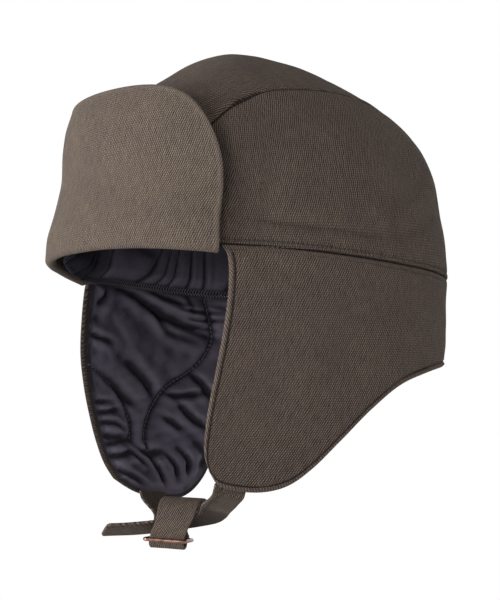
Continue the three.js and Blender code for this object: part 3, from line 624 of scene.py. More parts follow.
def flap_relief(side):
    """Rolled hem with a groove inside it, a pulled-in seam and long soft folds."""
    def relief(s, v, flat, distances):
        u, w = flat[..., 0], flat[..., 1]
        phi, z = flap_patch(side, s, v)
        free = np.minimum(distances[0], distances[3])
        top = distances[2]
        shape = 0.4 * smooth(0.6, 1.5, free) * (1 - smooth(2.2, 3.0, free))
        shape = shape - 0.6 * bell(free, 0.5, 3.2)
        shape = shape + 0.12 * np.sin(u * 2 * np.pi / 12.5 + 2 * np.sin(u / 23)) * bell(top, 7)
        fold = distance_to_line(
            phi * MM_ROUND, z, [(66 * MM_ROUND, -9), (78 * MM_ROUND, -13), (92 * MM_ROUND, -19)])
        shape = shape - 0.9 * bell(fold, 3.4) + 0.5 * bell(fold, 4, 6)
        shape = shape - soft_bumps(FLAP_DENTS, phi, z)
        calm = smooth(1.5, 14, np.minimum(free, top))
        return shape + calm * (0.5 * waves(u, w, 40, 41 + side) + 0.14 * waves(u, w, 17, 45 + side))
    return relief

def hem(distance):
    """Inset of the inner sheet: 3.1 mm where the hem is folded in, and 1.8 from 4 mm on."""
    return mix(3.1, TWILL, smooth(3.0, 4.0, distance))

def flap_surface(side):
    """The flap's patch on its ellipse; its upper edge stands 0.15 mm off the crown."""
    def surface(s, v, inset):
        phi, z = flap_patch(side, s, v)
        point = flap_point(side, phi, z, inset)
        point[..., 2] -= np.where(v <= 0, 0.15, 0)
        return point
    return surface

def flap_painted_shade(side):
    """Painted shade, a little darker towards the front edge."""
    return lambda s, v: -0.14 * (1 - smooth(56, 74, np.abs(flap_patch(side, s, v)[0])))

# %% Flap panels
HEM_STEPS = (0, 0.12, 0.35, 0.7, 1.15, 1.7, 2.3, 2.9, 3.4, 4.0, 4.8)
ear_flaps = []
for side, word in ((1, "left"), (-1, "right")):
    # the right flap's free edges are painted darker as shade, the left's lighter with wear
    made = panel(
        f"ear_flap_{word}_cloth", flap_surface(side), edge_spaced(205, 1.7, HEM_STEPS),
        edge_spaced(118, 1.6, HEM_STEPS), lambda s, v: flap_cut(side, s, v), flap_relief(side),
        meet=1.5, radius=1.5, inner=hem, sewn=(1, 2), edge_tone=1.0 if side > 0 else -0.6,
        painted_light_and_shade=flap_painted_shade(side))
    dress(made, f"ear_flap_{word}", "twill")
    ear_flaps.append(made)

# %% [markdown]
# ## The crown lining
# Padded satin, gathered into the brow so that it gives: deep irregular puffs with sharp
# valleys between them, which lean and fade out upward. The valleys are drawn once as a curve
# round the head, and each row of the dome looks its depth up in that curve.

# %% Gathers
def joint_z(phi):
    """Height of the joint between the crown lining and what hangs below it."""
    return np.interp(phi, [-180, -106, -93, -80, -66, -55, -47, -41, -30, 0, 30, 48, 60, 80, 180],
                     [-0.3, -0.3, -0.5, -1, -1.5, -3, -4.6, -3.4, 0, 2, 1.2, -0.6, -1.5, -1, -0.3])

def gather_profile():
    """Depth of the gathers round the head, 0 in a valley to 1 on a puff, each 0.1 degree."""
    rng = np.random.default_rng(12)
    valleys = [-111, -104.5, -98, -91.5, -82.2, -76, -69.5, -56, -45]
    while valleys[-1] < 241:
        valleys.append(valleys[-1] + rng.uniform(6.0, 11.5))
    valleys = np.array(valleys[:-1])
    valleys = np.concatenate([valleys - 360, valleys, valleys + 360])
    phi = np.arange(-180, 180.05, 0.1)
    i = np.searchsorted(valleys, phi)
    width = valleys[i] - valleys[i - 1]
    t = (phi - valleys[i - 1]) / width
    fall = rng.uniform(0.75, 1.5, len(valleys))[i]
    puff = (1 - np.abs(2 * t ** fall - 1) ** 2.8) ** 0.8 * np.clip(width / 9, 0.6, 1.1)
    share = rng.uniform(0.35, 0.65, len(valleys))[i]
    depth = rng.uniform(0.0, 0.2, len(valleys))[i]
    return phi, np.maximum(puff - depth * bell(t, 0.12, share), 0)

def gathers_at(phi, climb):
    """The gathers lean as they climb, by about two degrees times the root of the climb."""
    angles, puff = gather_profile()
    lean = 2.0 * np.sqrt(np.maximum(climb, 0)) * (0.7 + 0.75 * waves(phi, 0 * phi, 40, 51))
    return np.interp((phi + lean + 180) % 360 - 180, angles, puff)

def lining_place(phi, climb):
    """z of the lining at a length climbed from its lower edge."""
    return np.interp(climb, _climb, _heights) + joint_z(phi) * (1 - smooth(0, 25, climb))

def lining_inset(phi, climb):
    """Inset of the visible side: padding that swells from the joint, and the gathers."""
    gathers = gathers_at(phi, climb)
    reach = 26 + 12 * waves(phi, 0 * phi, 25, 52)
    height = mix(0.3, 1, smooth(0.8, 4.5, climb)) * (1 - smooth(13, reach, climb))
    padding = mix(1.4, 5.6, smooth(0, 7, climb))
    ripple = 0.35 * waves(phi * 1.6, climb * 0.7, 16, 53) + 0.5 * waves(phi * 1.6, climb, 42, 54)
    return 2.8 + padding + 4.6 * height * (gathers - 0.5) + smooth(4, 14, climb) * ripple

def lining_shade(phi, climb):
    """Painted shade: 1 in the valleys of the gathers and at the joint, a half up in the crown, and up
    to 1.3 inside the brow, where hardly any light comes."""
    valley = (1 - smooth(0.12, 0.68, gathers_at(phi, climb))) * (1 - smooth(18, 30, climb))
    joint = 1 - smooth(1.0, 3.4, climb)
    brow = 1.35 - 1.3 * smooth(40, 66, np.abs(phi))
    above = 0.05 + 0.5 * smooth(3, 20, climb)
    return np.clip(np.maximum.reduce([valley, joint, above, brow]), 0, 1.3)

# %% Crown lining
def make_crown_lining():
    """The visible inside with its gathers and a plain outside, rolled together at the joint.
    Both are closed over at the top, where each row of points shrinks to one."""
    phi = np.linspace(-180, 180, 721)
    climb = np.concatenate([
        [0, 0.15, 0.4, 0.8, 1.3], np.arange(2, 34, 1.15), np.linspace(34.5, _climb[-1], 34)])
    p, c = np.meshgrid(phi, climb)
    z = lining_place(p, c)
    roll = rolled(c, 0.9)
    inset = mix(lining_inset(p, c), 3.5, roll)
    top = DOME_HEIGHT - 7.3
    z_in = np.minimum(z, DOME_HEIGHT) * (1 - smooth(40, _climb[-1], c) * (1 - top / 100.9))
    inside = crown_point(p, z_in, np.minimum(inset, 101 - z_in - 0.001), swells=False)
    coarse = np.concatenate([[0, 0.4, 1.2], np.linspace(3, _climb[-1], 26)])
    po, co = np.meshgrid(phi, coarse)
    zo = lining_place(po, co)
    zo = zo * (1 - smooth(40, _climb[-1], co) * (1 - 98.2 / 100.9))
    outside = crown_point(po, zo, mix(2.8, 3.5, rolled(co, 0.9)), swells=False)
    inside[-1], outside[-1] = inside[-1].mean(0), outside[-1].mean(0)
    loop = np.concatenate([outside[::-1], inside[1:]])
    round_it = np.concatenate([po[::-1], p[1:]]) * MM_PER_DEGREE
    flat = np.stack([round_it, np.concatenate([-co[::-1] - 9, c[1:]])], -1)
    edge = np.concatenate([lining_shade(po, co)[::-1], lining_shade(p, c)[1:]])
    made = closed_mesh("crown_lining_satin", loop, grid_quads(*loop.shape[:2]), flat, edge.ravel())
    print("crown_lining_satin", len(made.data.polygons), "faces")
    return made

crown_lining = make_crown_lining()
dress(crown_lining, "crown_lining", "satin")

# %% [markdown]
# ## The flap linings
# Satin quilted over wadding. Only the face towards the head shows, so that face is a cloth
# sheet in Blender's Cloth simulation: it is cut a little too large, held at its edges and
# along the quilting lines, and light pressure blows it up. The spare cloth has to go
# somewhere, and it buckles into the small wrinkles that run away from each line of stitches.
# The simulation runs on a coarse grid. How far it moved each point is then carried over to a
# grid twice as fine, on which the folds and the shading are worked out again.

# %% Quilting lines
QUILTING = {  # phi, z along each line
    "left": [
        [(54.5, -46), (60, -55), (64.5, -65), (67, -76), (67, -89)],
        [(98.2, -2), (99.4, -16), (100.4, -29), (97, -41), (90, -51), (83, -59), (78.5, -67),
        (74.6, -76), (72.6, -86), (72.4, -95)]],
    "right": [
        [(46, -48), (53, -54), (58.8, -60.2), (63.8, -72.5), (65, -82), (63.8, -90)],
        [(98.2, -2), (99.4, -16), (100.4, -29), (98, -38), (92.2, -48.5), (83, -57.8), (78.5, -65),
        (74.2, -74), (71, -84.2), (70, -93.8), (71.2, -99)]]}

# points (phi, z), width and depth in mm of the soft folds between the lines
FOLDS = [
    ([(61, -2), (73, -8), (80.5, -15.8), (87, -20.8), (95.8, -26.2), (103, -31.8)], 3.4, 3.0),
    ([(77.5, -2.8), (85.2, -7.2), (92.5, -9.8)], 2.2, 1.5),
    ([(80, -14), (83, -26), (90.2, -30), (97.2, -33.5)], 2.8, 1.9),
    ([(60, -6), (57, -12), (53.5, -17)], 2.0, 1.6), ([(46.5, -31), (53.8, -35), (60, -36.4)], 2.0, 1.7),
    ([(63, -44), (71, -53), (75.5, -61), (76.5, -68)], 3.6, 2.4),
    ([(57, -57), (64.2, -67), (69.2, -72)], 2.6, 1.7), ([(79, -62.3), (86.2, -63.8), (97, -61)], 1.7, 2.0),
    ([(91, -49), (95.8, -58.5), (98, -66)], 2.4, 2.2), ([(84.5, -66), (88.8, -75), (94.5, -82)], 2.2, 2.2),
    ([(77.2, -75.2), (81.5, -79), (85, -83.2)], 2.0, 1.6), ([(88, -88), (92, -97), (88, -106)], 3.4, 1.6),
    ([(45, -68.5), (50.8, -70.5), (57, -69.5)], 1.6, 1.6),
    ([(45.2, -77), (53, -75.8), (60.5, -73.6)], 1.7, 1.8),
    ([(45.8, -83.5), (53.5, -81.2), (61.5, -84)], 1.5, 1.6),
    ([(46.2, -87.2), (53.2, -89.4), (61.8, -88)], 1.8, 1.9),
    ([(46.8, -95.5), (56, -92.5), (63.2, -90.5)], 1.5, 1.7),
    ([(49, -101.2), (57, -99.2), (64, -95.8)], 1.6, 1.7),
    ([(61.5, -96), (65.5, -100.2), (69.2, -104.2)], 1.5, 1.6),
    ([(70, -98.2), (73, -106.2), (74, -114.5)], 1.6, 2.0),
    ([(76.5, -96.2), (79.5, -103.2), (79.2, -111.5)], 1.7, 1.9),
    ([(82, -93.5), (85, -100.2), (82.8, -109)], 1.7, 1.8),
    ([(54.8, -106.2), (61.2, -110.6), (67, -115)], 1.5, 1.7),
    ([(65, -94), (70, -97.5), (77, -95)], 1.9, 2.0), ([(88, -12), (96, -13), (104, -12)], 1.1, 1.0),
    ([(89, -17), (97, -18.5), (106, -17)], 1.1, 1.0), ([(90, -22), (97, -23), (103, -25)], 1.1, 0.9),
    ([(92, -2), (93.6, -12), (92.6, -18)], 1.8, 0.8), ([(101, -8), (112, -11), (124, -8)], 2.4, 1.6),
    ([(106, -22), (118, -26), (131, -20)], 3.0, 1.8), ([(118, -36), (131, -38), (146, -33)], 2.6, 1.6),
    ([(101, -44), (110, -52), (116, -56)], 2.6, 1.8), ([(140, -10), (153, -18), (166, -16)], 2.8, 1.6)]

def fold_relief(u, w, mirrored):
    """Each fold is a valley with a soft ridge on both sides, and it dies away at its ends. The second
    result is painted shade along each valley.
    """
    shape, shade = np.zeros(np.shape(u)), np.zeros(np.shape(u))
    for k, (rows, width, depth) in enumerate(FOLDS):
        points = np.array(rows, float)
        if mirrored:
            points = points + (2.6 * math.sin(2.1 * k + 1), 3.2 * math.sin(1.3 * k))
        line = even_curve(points * (MM_PER_DEGREE, 1), np.linspace(0, 1, 9))
        away, along = nearest_on_line(u, w, line)
        total = np.linalg.norm(np.diff(line, axis=0), axis=1).sum()
        taper = smooth(-0.15, 0.4, along / total) * smooth(-0.1, 0.35, 1 - along / total)
        valley = bell(away, width) - 0.5 * bell(away, 1.4 * width, 2.1 * width)
        shape = shape + 1.25 * depth * taper * valley
        # painted shade along the fold's valley
        shade = shade + 0.42 * depth * taper * bell(away, 1.15 * width)
    return shape, np.clip(shade, 0, 1)

def quilt_paths(word):
    """The quilting lines as smooth curves in (phi in mm, z)."""
    paths = []
    for rows in QUILTING[word]:
        points = np.array(rows, float) * (MM_PER_DEGREE, 1)
        paths.append(even_curve(points, np.linspace(0, 1, 14)))
    return paths

def lining_patch(side, s, v):
    """phi and z of a flap lining, from the joint down to 1.5 mm inside the flap's edge."""
    across = mix(1.5 / 190, 1, s)
    depth = -flap_patch(side, across, np.ones_like(v))[1]
    phi_top = flap_patch(side, across, 0.02 + 0 * v)[0]
    first = -(joint_z(side * phi_top) - 0.35) / depth
    return flap_patch(side, across, mix(first, 1 - 1.5 / depth, v))

def inward(side, phi, z):
    """Unit direction from the cloth towards the head."""
    step = flap_point(side, phi, z, 7.0) - flap_point(side, phi, z, 3.0)
    return step / np.linalg.norm(step, axis=-1, keepdims=True)

def hollowness(height, reach=5):
    """-1 on ridges to 1 in valleys: how far each point lies below the mean round it."""
    kernel = np.hanning(2 * reach + 1)
    kernel = kernel / kernel.sum()
    mean = height
    for axis in (0, 1):
        pad = [(reach, reach) if k == axis else (0, 0) for k in (0, 1)]
        mean = np.apply_along_axis(np.convolve, axis, np.pad(mean, pad, mode="edge"), kernel, "valid")
    return np.clip((mean - height) / 0.8, -1, 1)

# %% Cloth simulation of one quilted face
def blow_up(points, pinned, slack):
    """Runs Cloth on a grid of points (in mm) and returns where they come to rest."""
    frames = 24
    rows, columns = points.shape[:2]
    mesh = bpy.data.meshes.new("quilt_sheet")
    mesh.from_pydata((points.reshape(-1, 3) * 0.001).tolist(), [], grid_quads(rows, columns).tolist())
    sheet = bpy.data.objects.new("quilt_sheet", mesh)
    bpy.context.scene.collection.objects.link(sheet)
    held, loose = sheet.vertex_groups.new(name="held"), sheet.vertex_groups.new(name="slack")
    held.add(np.flatnonzero(pinned.ravel()).tolist(), 1.0, "REPLACE")
    for level in range(11):
        chosen = np.flatnonzero(np.round(slack.ravel() * 10).astype(int) == level)
        loose.add(chosen.tolist(), level / 10, "REPLACE")
    cloth = sheet.modifiers.new("Cloth", "CLOTH")
    setting = cloth.settings
    setting.vertex_group_mass = "held"
    setting.vertex_group_shrink = "slack"
    setting.shrink_min, setting.shrink_max = 0.0, -0.1
    setting.quality = 6
    setting.mass = 0.08
    setting.tension_stiffness = setting.compression_stiffness = 18
    setting.shear_stiffness = 6
    setting.bending_stiffness = 0.8
    setting.air_damping = 4
    setting.use_pressure = True
    setting.uniform_pressure_force = 1.2
    setting.effector_weights.gravity = 0
    cloth.collision_settings.use_collision = False
    cloth.collision_settings.use_self_collision = False
    scene = bpy.context.scene
    cloth.point_cache.frame_start, cloth.point_cache.frame_end = 1, frames
    for frame_number in range(1, frames + 1):
        scene.frame_set(frame_number)
    rest = sheet.evaluated_get(bpy.context.evaluated_depsgraph_get()).to_mesh()
    moved = np.empty(rows * columns * 3, np.float32)
    rest.vertices.foreach_get("co", moved)
    bpy.data.objects.remove(sheet)
    scene.frame_set(1)
    return moved.reshape(rows, columns, 3).astype(float) * 1000

# %% Make the flap linings
lining_faces = {}

def finer(grid):
    """Twice the rows and columns: each new value is (9 (b + c) - a - d) / 16 of its neighbours."""
    for axis in (0, 1):
        grid = np.moveaxis(grid, axis, 0)
        longer = np.concatenate([2 * grid[:1] - grid[1:2], grid, 2 * grid[-1:] - grid[-2:-1]])
        out = np.empty((2 * len(grid) - 1,) + grid.shape[1:])
        out[::2] = grid
        out[1::2] = (9 * (longer[1:-2] + longer[2:-1]) - longer[:-3] - longer[3:]) / 16
        grid = np.moveaxis(out, 0, axis)
    return grid

def quilt_fields(side, word, s, v):
    """Everything about the sewn face that is known before the cloth is blown up."""
    phi, z = lining_patch(side, s, v)
    distances = edge_distances(flap_point(side, phi, z, 4.0))
    nearest, top = np.minimum.reduce([distances[0], distances[2], distances[3]]), distances[1]
    u, w = phi * MM_PER_DEGREE, z
    lines = [nearest_on_line(u, w, path) for path in quilt_paths(word)]
    line = np.minimum.reduce([found[0] for found in lines])
    beside = np.where(lines[0][0] < lines[1][0], lines[0][1], lines[1][1])
    puff = smooth(-2, 9, nearest) * (1 - 0.8 * np.exp(-line / 4.0)) * smooth(-2.5, 7, top)
    wrinkle = 0.3 * waves(u, w * 1.6, 11, 61 + side) + 0.5 * waves(u + w, w, 24, 63 + side)
    folds, shade = fold_relief(u, w, side > 0)
    wrinkle = wrinkle - folds
    # painted shade, darker towards the bottom of the flap
    shade = shade * mix(0.62, 1.1, smooth(-25, -95, z)) + 0.3 * smooth(-78, -112, z)
    # painted shade along the quilting lines and at the edges
    shade = np.maximum.reduce([
        shade, 0.5 * bell(line, 0.8), 1 - smooth(0.3, 2.6, nearest), 1 - smooth(0.5, 5, top)])
    # a painted highlight along a broad band on the upper front
    painted_highlight_line = distance_to_line(u, w, np.array([(69, -12), (65, -26), (58, -40)]) * [MM_PER_DEGREE, 1])
    shade = shade - 0.3 * bell(painted_highlight_line, 6)
    start = 3.9 + 4.3 * puff + 0.9 * (1 - smooth(2, 7, top)) * smooth(1, 5, nearest)
    start = start + mix(0.35, 1, smooth(0, 4, np.minimum(nearest, line))) * wrinkle
    start = np.maximum(start, 3.5 + 0.3 * smooth(0, 3, nearest))
    return phi, z, u, w, top, nearest, line, beside, shade, start

def make_flap_lining(side, word):
    """Outer sheet against the twill, inner sheet from the simulation, rolled together."""
    s, v = np.meshgrid(edge_spaced(196, 1.75), edge_spaced(112, 1.55))
    phi, z, u, w, top, nearest, line, beside, shade, start = quilt_fields(side, word, s, v)
    face = flap_point(side, phi, z, start)
    direction = inward(side, phi, z)
    shift = 0 * face
    pinned = (nearest < 0.6) | (top < 0.6) | (line < 1.0)
    slack = 0.42 + 0.25 * waves(u, w, 50, 65 + side) + 0.5 * smooth(-88, -112, z)
    slack = np.clip(slack + 0.25 * smooth(-12, -2, z), 0.1, 1.0)
    order = 1 if side > 0 else -1
    moved = blow_up(face[:, ::order], pinned[:, ::order], slack[:, ::order])[:, ::order]
    shift = moved - face
    far = np.linalg.norm(shift, axis=-1, keepdims=True)
    shift = shift * np.minimum(1, 5.0 / np.maximum(far, 1e-6))
    depth = (shift * direction).sum(-1, keepdims=True)
    shift = shift + direction * (np.maximum(depth, -(start - 3.4)[..., None]) - depth)
    print(word, "quilting moved", round(float(np.linalg.norm(shift, axis=-1).max()), 2), "mm at most")
    s, v, shift = finer(s), finer(v), finer(shift)
    phi, z, u, w, top, nearest, line, beside, shade, start = quilt_fields(side, word, s, v)
    face = flap_point(side, phi, z, start) + shift
    direction = inward(side, phi, z)
    roll = rolled(np.minimum(nearest, top), 0.8)[..., None]
    rim = flap_point(side, phi, z, 3.4)
    inside = mix(face, rim, roll)
    outside = flap_point(side, phi, z, mix(2.75, 3.4, roll[..., 0]))
    rows, columns = s.shape
    quads = np.concatenate([
        grid_quads(rows, columns), grid_quads(rows, columns, rows * columns)[:, ::-1]])
    points = np.concatenate([outside.reshape(-1, 3), inside.reshape(-1, 3)])
    flat = np.stack([u, w], -1).reshape(-1, 2)
    height = ((inside - flap_point(side, phi, z, 0 * phi)) * direction).sum(-1)
    hollow = hollowness(height, 10)
    # painted shade in the hollows of the blown-up face, and painted highlight on its ridges
    shade = np.where(hollow > 0, np.maximum(shade, hollow), shade + 0.7 * hollow)
    made = closed_mesh(f"flap_lining_{word}_satin", points, quads, np.concatenate([flat, flat]),
                       np.concatenate([shade.ravel()] * 2),
                       [np.concatenate([part.ravel()] * 2) for part in (beside, line)])
    lining_faces[word] = (u, w, inside, direction)
    dress(made, f"flap_lining_{word}", "satin")
    print(made.name, len(made.data.polygons), "faces")
    return made

flap_linings = [make_flap_lining(1, "left"), make_flap_lining(-1, "right")]

# %% [markdown]
# ## The chin strap
# A strap is a folded tube of twill, pressed flat. Its middle line is a curve through measured
# points, and at each point a short cross-section is laid along a second curve that says which
# way the width of the strap points. The ends close because the thickness runs out there.

# %% Strap routes
TAIL_ROUTE = np.array([  # x, y, z, direction across in x, y, z, cupping
    (44.5, -39.6, -123.6, 0.18, 0.97, -0.05, 0), (37, -38.2, -126.4, 0.12, 0.98, -0.1, 0.3),
    (26, -35.5, -129, 0.06, 0.98, -0.15, 0.6), (12, -29.4, -131.6, -0.14, 0.97, -0.2, 1),
    (-1.4, -26.2, -133.9, -0.46, 0.86, -0.25, 1.4), (-7.8, -30, -135.1, -0.62, 0.74, -0.28, 1.6),
    (-13.4, -35.9, -136.1, -0.68, 0.68, -0.28, 1.6), (-19, -42.8, -137.3, -0.72, 0.63, -0.3, 1.4),
    (-26, -54, -138.8, -0.8, 0.52, -0.3, 1), (-32.5, -67.5, -139.4, -0.84, 0.46, -0.3, 0.6)])
LOOP_ROUTE = np.array([  # along the bars, outward, up, from the point where the straps cross
    (0, -11.2, 0.3), (1.5, -11.6, 5.8), (3.1, -8.6, 11.4), (3.9, 0, 13.2),
    (3.7, 8, 12.2), (2.9, 11, 8.4), (1.1, 12, 1.8), (-1.5, 11.8, -4.2),
    (-3.7, 9.2, -9), (-4.3, 7.4, -11.7), (-4.5, 4, -12.7), (-4.5, 0.9, -11.3),
    (-4.5, -0.1, -8.5), (-4.7, -1.8, -6), (-5.1, -4.8, -6.1), (-7, -10, -6.6),
    (-10, -17.5, -2.2), (-13.2, -25, 5)])
TAIL_WIDTH, LOOP_WIDTH = 17.5, 20.5
STRAP_ROWS = (1.7, 4.3)  # two rows of stitches, counted from the strap's edge
CLOSURE = np.array([-13.4, -35.9, -136.1])
ALONG_BARS = np.array([0.7053, 0.7053, -0.07])
OUTWARD = np.array([math.sqrt(0.5), -math.sqrt(0.5), 0])
UP = np.array([0, 0, 1.0])

def strap_root(side, phi):
    """Two points where the strap is sewn behind the hem, and its direction across there."""
    z = np.array([-117.3, -121.9])
    points = flap_point(side, np.full(2, phi), z, 5.1)
    across = flap_point(side, phi + 1.0, -117.3, 5.1) - flap_point(side, phi + 0.0, -117.3, 5.1)
    return points, across / np.linalg.norm(across)

def strap_frame(centres, acrosses, cups, along):
    """Middle point, across, normal and cupping at lengths counted along the strap."""
    t = np.linspace(0, 1, 1201)
    line = catmull(centres, t)
    length = lengths(line)
    share = np.interp(along, length, t)
    middle = catmull(centres, share)
    tangent = catmull(centres, np.minimum(share + 2e-4, 1)) - catmull(centres, share - 2e-4)
    beyond = (along - np.clip(along, 0, length[-1]))[..., None]
    across = catmull(acrosses, share, centripetal=False)
    across = across / np.linalg.norm(across, axis=-1, keepdims=True)
    tangent = tangent - across * (tangent * across).sum(-1, keepdims=True)
    tangent = tangent / np.linalg.norm(tangent, axis=-1, keepdims=True)
    cup = np.interp(share * (len(cups) - 1), np.arange(len(cups)), cups)
    return middle + tangent * beyond, across, np.cross(across, tangent), cup, length[-1]

def make_strap(name, centres, acrosses, cups, width, cut, corner, stitched, seed, pinch=None,
               painted_shade=None):
    """A flat band 1.6 mm thick with round edges; its end is cut aslant with round corners.
    pinch scales its width and painted_shade paints shade into its cloth, each by a table of lengths."""
    total = strap_frame(centres, acrosses, cups, np.zeros(1))[4]
    x = (edge_spaced(width, 1.0, (0, 0.1, 0.3, 0.6, 1.0, 1.5)) - 0.5) * width
    tau = edge_spaced(total, 1.15, (0, 0.1, 0.3, 0.6, 1.0, 1.6)) * total
    x, pos = np.meshgrid(x, tau)
    near = np.clip(np.abs(x) - (width / 2 - corner), 0, corner)
    end = cut * (x / width + 0.5) - (corner - np.sqrt(np.maximum(corner ** 2 - near ** 2, 0)))
    pos = pos + end * smooth(total - 16, total, pos)
    middle, across, normal, cup, _ = strap_frame(centres, acrosses, cups, pos)
    side = width / 2 - np.abs(x)
    tip = np.minimum(pos, total + end - pos)
    half = 0.8 * (1 - rolled(np.minimum(side, tip), 0.8))
    body = 0.16 * waves(pos, x, 9, seed) * smooth(0.5, 3, side)
    body = body + 0.1 * smooth(0.8, 1.6, side) * (1 - smooth(2, 3, side))
    if stitched:
        for row in STRAP_ROWS:
            body = body - 0.22 * np.exp(-((x - stitched * (width / 2 - row)) / 0.45) ** 2)
    calm = smooth(4, 20, np.minimum(pos, total - pos))
    sag = cup * (1 - (2 * x / width) ** 2) + 0.25 * waves(pos, x, 22, seed + 1) * calm
    if pinch:
        x = x * np.interp(pos, *pinch)
    place = middle + across * x[..., None]
    front = place + normal * (sag + half + body * half / 0.8)[..., None]
    back = place + normal * (sag - half)[..., None]
    loop = np.concatenate([front, back[:, ::-1][:, 1:]], 1)
    flat = np.stack([0.8 * x + 0.6 * pos, 0.8 * pos - 0.6 * x], -1)
    flat = np.concatenate([flat, flat[:, ::-1][:, 1:]], 1)
    edge = 1 - smooth(0.3, 1.6, np.minimum(side, tip))
    # painted shade: darker along the stretch the table gives
    if painted_shade:
        dark = np.interp(pos, *painted_shade)
        edge = edge * (1 - dark) - dark
    edge = np.concatenate([edge, edge[:, ::-1][:, 1:]], 1)
    off = 20 + 0 * x
    if stitched:
        outer = width / 2 - x * stitched
        off = np.where(outer < 3.0, outer - STRAP_ROWS[0], outer - STRAP_ROWS[1])
    off, beside = (np.concatenate([part, part[:, ::-1][:, 1:]], 1) for part in (off, pos))
    made = closed_mesh(name, loop, grid_quads(*loop.shape[:2]), flat, edge.ravel(), (beside, off))
    print(name, len(made.data.polygons), "faces,", round(float(total)), "mm long")
    return made

# %% Straps
root, across = strap_root(1, 66.0)
tail_centres = np.vstack([root, TAIL_ROUTE[:, :3]])
tail_across = np.vstack([across, across, TAIL_ROUTE[:, 3:6]])
tail_cups = np.concatenate([[-0.3, -0.3], TAIL_ROUTE[:, 6]])
# the near strap is painted dark as shade where it turns under
strap_left = make_strap(
    "strap_left_cloth", tail_centres, tail_across, tail_cups, TAIL_WIDTH, 4.0, 2.4, -1, 71,
    painted_shade=([30, 38, 68, 80], [0, 0.7, 0.7, 0]))
dress(strap_left, "strap_left", "twill")

root, across = strap_root(-1, 69.5)
loop_centres = CLOSURE + LOOP_ROUTE @ np.array([ALONG_BARS, OUTWARD, UP])
loop_centres = np.vstack([loop_centres, root[::-1]])
_turned = smooth(len(LOOP_ROUTE) - 4, len(LOOP_ROUTE), np.arange(len(loop_centres)))[:, None]
loop_across = mix(ALONG_BARS, across, _turned)
loop_cups = np.where(np.arange(len(loop_centres)) < len(LOOP_ROUTE), 0, -0.3)
# the far strap is painted dark as shade near the flap
strap_right = make_strap(
    "strap_right_cloth", loop_centres, loop_across, loop_cups, LOOP_WIDTH, 0.0, 0.6, 0, 81,
    pinch=([0, 34, 44, 66, 78, 96], [1.04, 1.04, 0.93, 0.93, 0.97, 0.86]),
    painted_shade=([66, 78, 140], [0, 0.55, 0.55]))
dress(strap_right, "strap_right", "twill")

# %% [markdown]
# ## The slide
# A wire frame with a bar across its middle, plated to look like old copper. A wire is a tube:
# circles carried along a path. The frame's path is a rectangle with round corners, and the
# bar's ends sink into the frame as a brazed bar's do.

# %% Slide
def tube(path, sideways, upward, radius, closed=False):
    """Circles of the given radius along a path; an open tube is closed flat at its ends."""
    sides = 14
    turn = np.linspace(0, 2 * np.pi, sides + 1)
    size = np.ones(len(path))
    if not closed:
        size[[0, -1]] = 0
    ring = sideways[:, None] * np.cos(turn)[:, None] + upward[:, None] * np.sin(turn)[:, None]
    points = path[:, None] + ring * radius * size[:, None, None]
    return points, grid_quads(len(path), sides + 1)

def make_slide():
    """The frame's path has four round corners of 2.4 mm, and the bar runs across its middle."""
    def at(outward, up, along=-4.3):
        return CLOSURE + ALONG_BARS * along + OUTWARD * outward + UP * up

    depth = at(11.8, -9.3) - at(-4.4, -8.1)
    half = np.linalg.norm(depth) / 2
    depth = depth / np.linalg.norm(depth)
    centre = at(3.7, -8.7)
    up = np.cross(ALONG_BARS, depth)
    angle = np.radians(np.concatenate([np.linspace(q, q + 90, 13) for q in (0, 90, 180, 270)] + [[360]]))
    mid = np.radians(45 + 90 * np.minimum(np.floor(np.degrees(angle) / 90 - 1e-9).clip(0), 3))
    mid[::13] = np.radians([45, 135, 225, 315, 405])[:len(mid[::13])]
    x = np.sign(np.cos(mid)) * 8.7 + 2.4 * np.cos(angle)
    y = np.sign(np.sin(mid)) * (half - 2.4) + 2.4 * np.sin(angle)
    path = centre + ALONG_BARS * x[:, None] + depth * y[:, None]
    side = ALONG_BARS * np.cos(angle)[:, None] + depth * np.sin(angle)[:, None]
    frame_points, frame_quads = tube(path, side, up + 0 * side, 0.98, closed=True)
    frame_points[-1] = frame_points[0]
    bar = at(4, -8.7) + ALONG_BARS * np.linspace(-11.1, 11.1, 26)[:, None]
    bar_points, bar_quads = tube(bar, depth + 0 * bar, up + 0 * bar, 1.02)
    points = np.concatenate([frame_points.reshape(-1, 3), bar_points.reshape(-1, 3)])
    quads = np.concatenate([frame_quads, bar_quads + frame_points.shape[0] * frame_points.shape[1]])
    made = closed_mesh("slide_wire", points, quads, points[:, :2])
    print("slide_wire", len(made.data.polygons), "faces")
    return made

slide = make_slide()
dress(slide, "slide", "copper")

# %% [markdown]
# ## Stitches
# A stitch is a short thread pulled into the cloth at both ends, so each one is a small
# ellipsoid laid along its seam. All the stitches of a seam are copies of one little mesh,
# moved and turned together as arrays, and joined in one object.

# %% Stitch rows
def along_line(points, spacing, gap=0.0):
    """Even places along a line, with the direction of the line at each."""
    length = lengths(points)
    at = np.arange(spacing / 2 + gap, length[-1] - gap, spacing)
    place = np.stack([np.interp(at, length, points[:, k]) for k in range(3)], -1)
    ahead = np.stack([np.interp(at + 0.3, length, points[:, k]) for k in range(3)], -1)
    behind = np.stack([np.interp(at - 0.3, length, points[:, k]) for k in range(3)], -1)
    heading = ahead - behind
    return at / length[-1], place, heading / np.maximum(np.linalg.norm(heading, axis=1, keepdims=True), 1e-9)

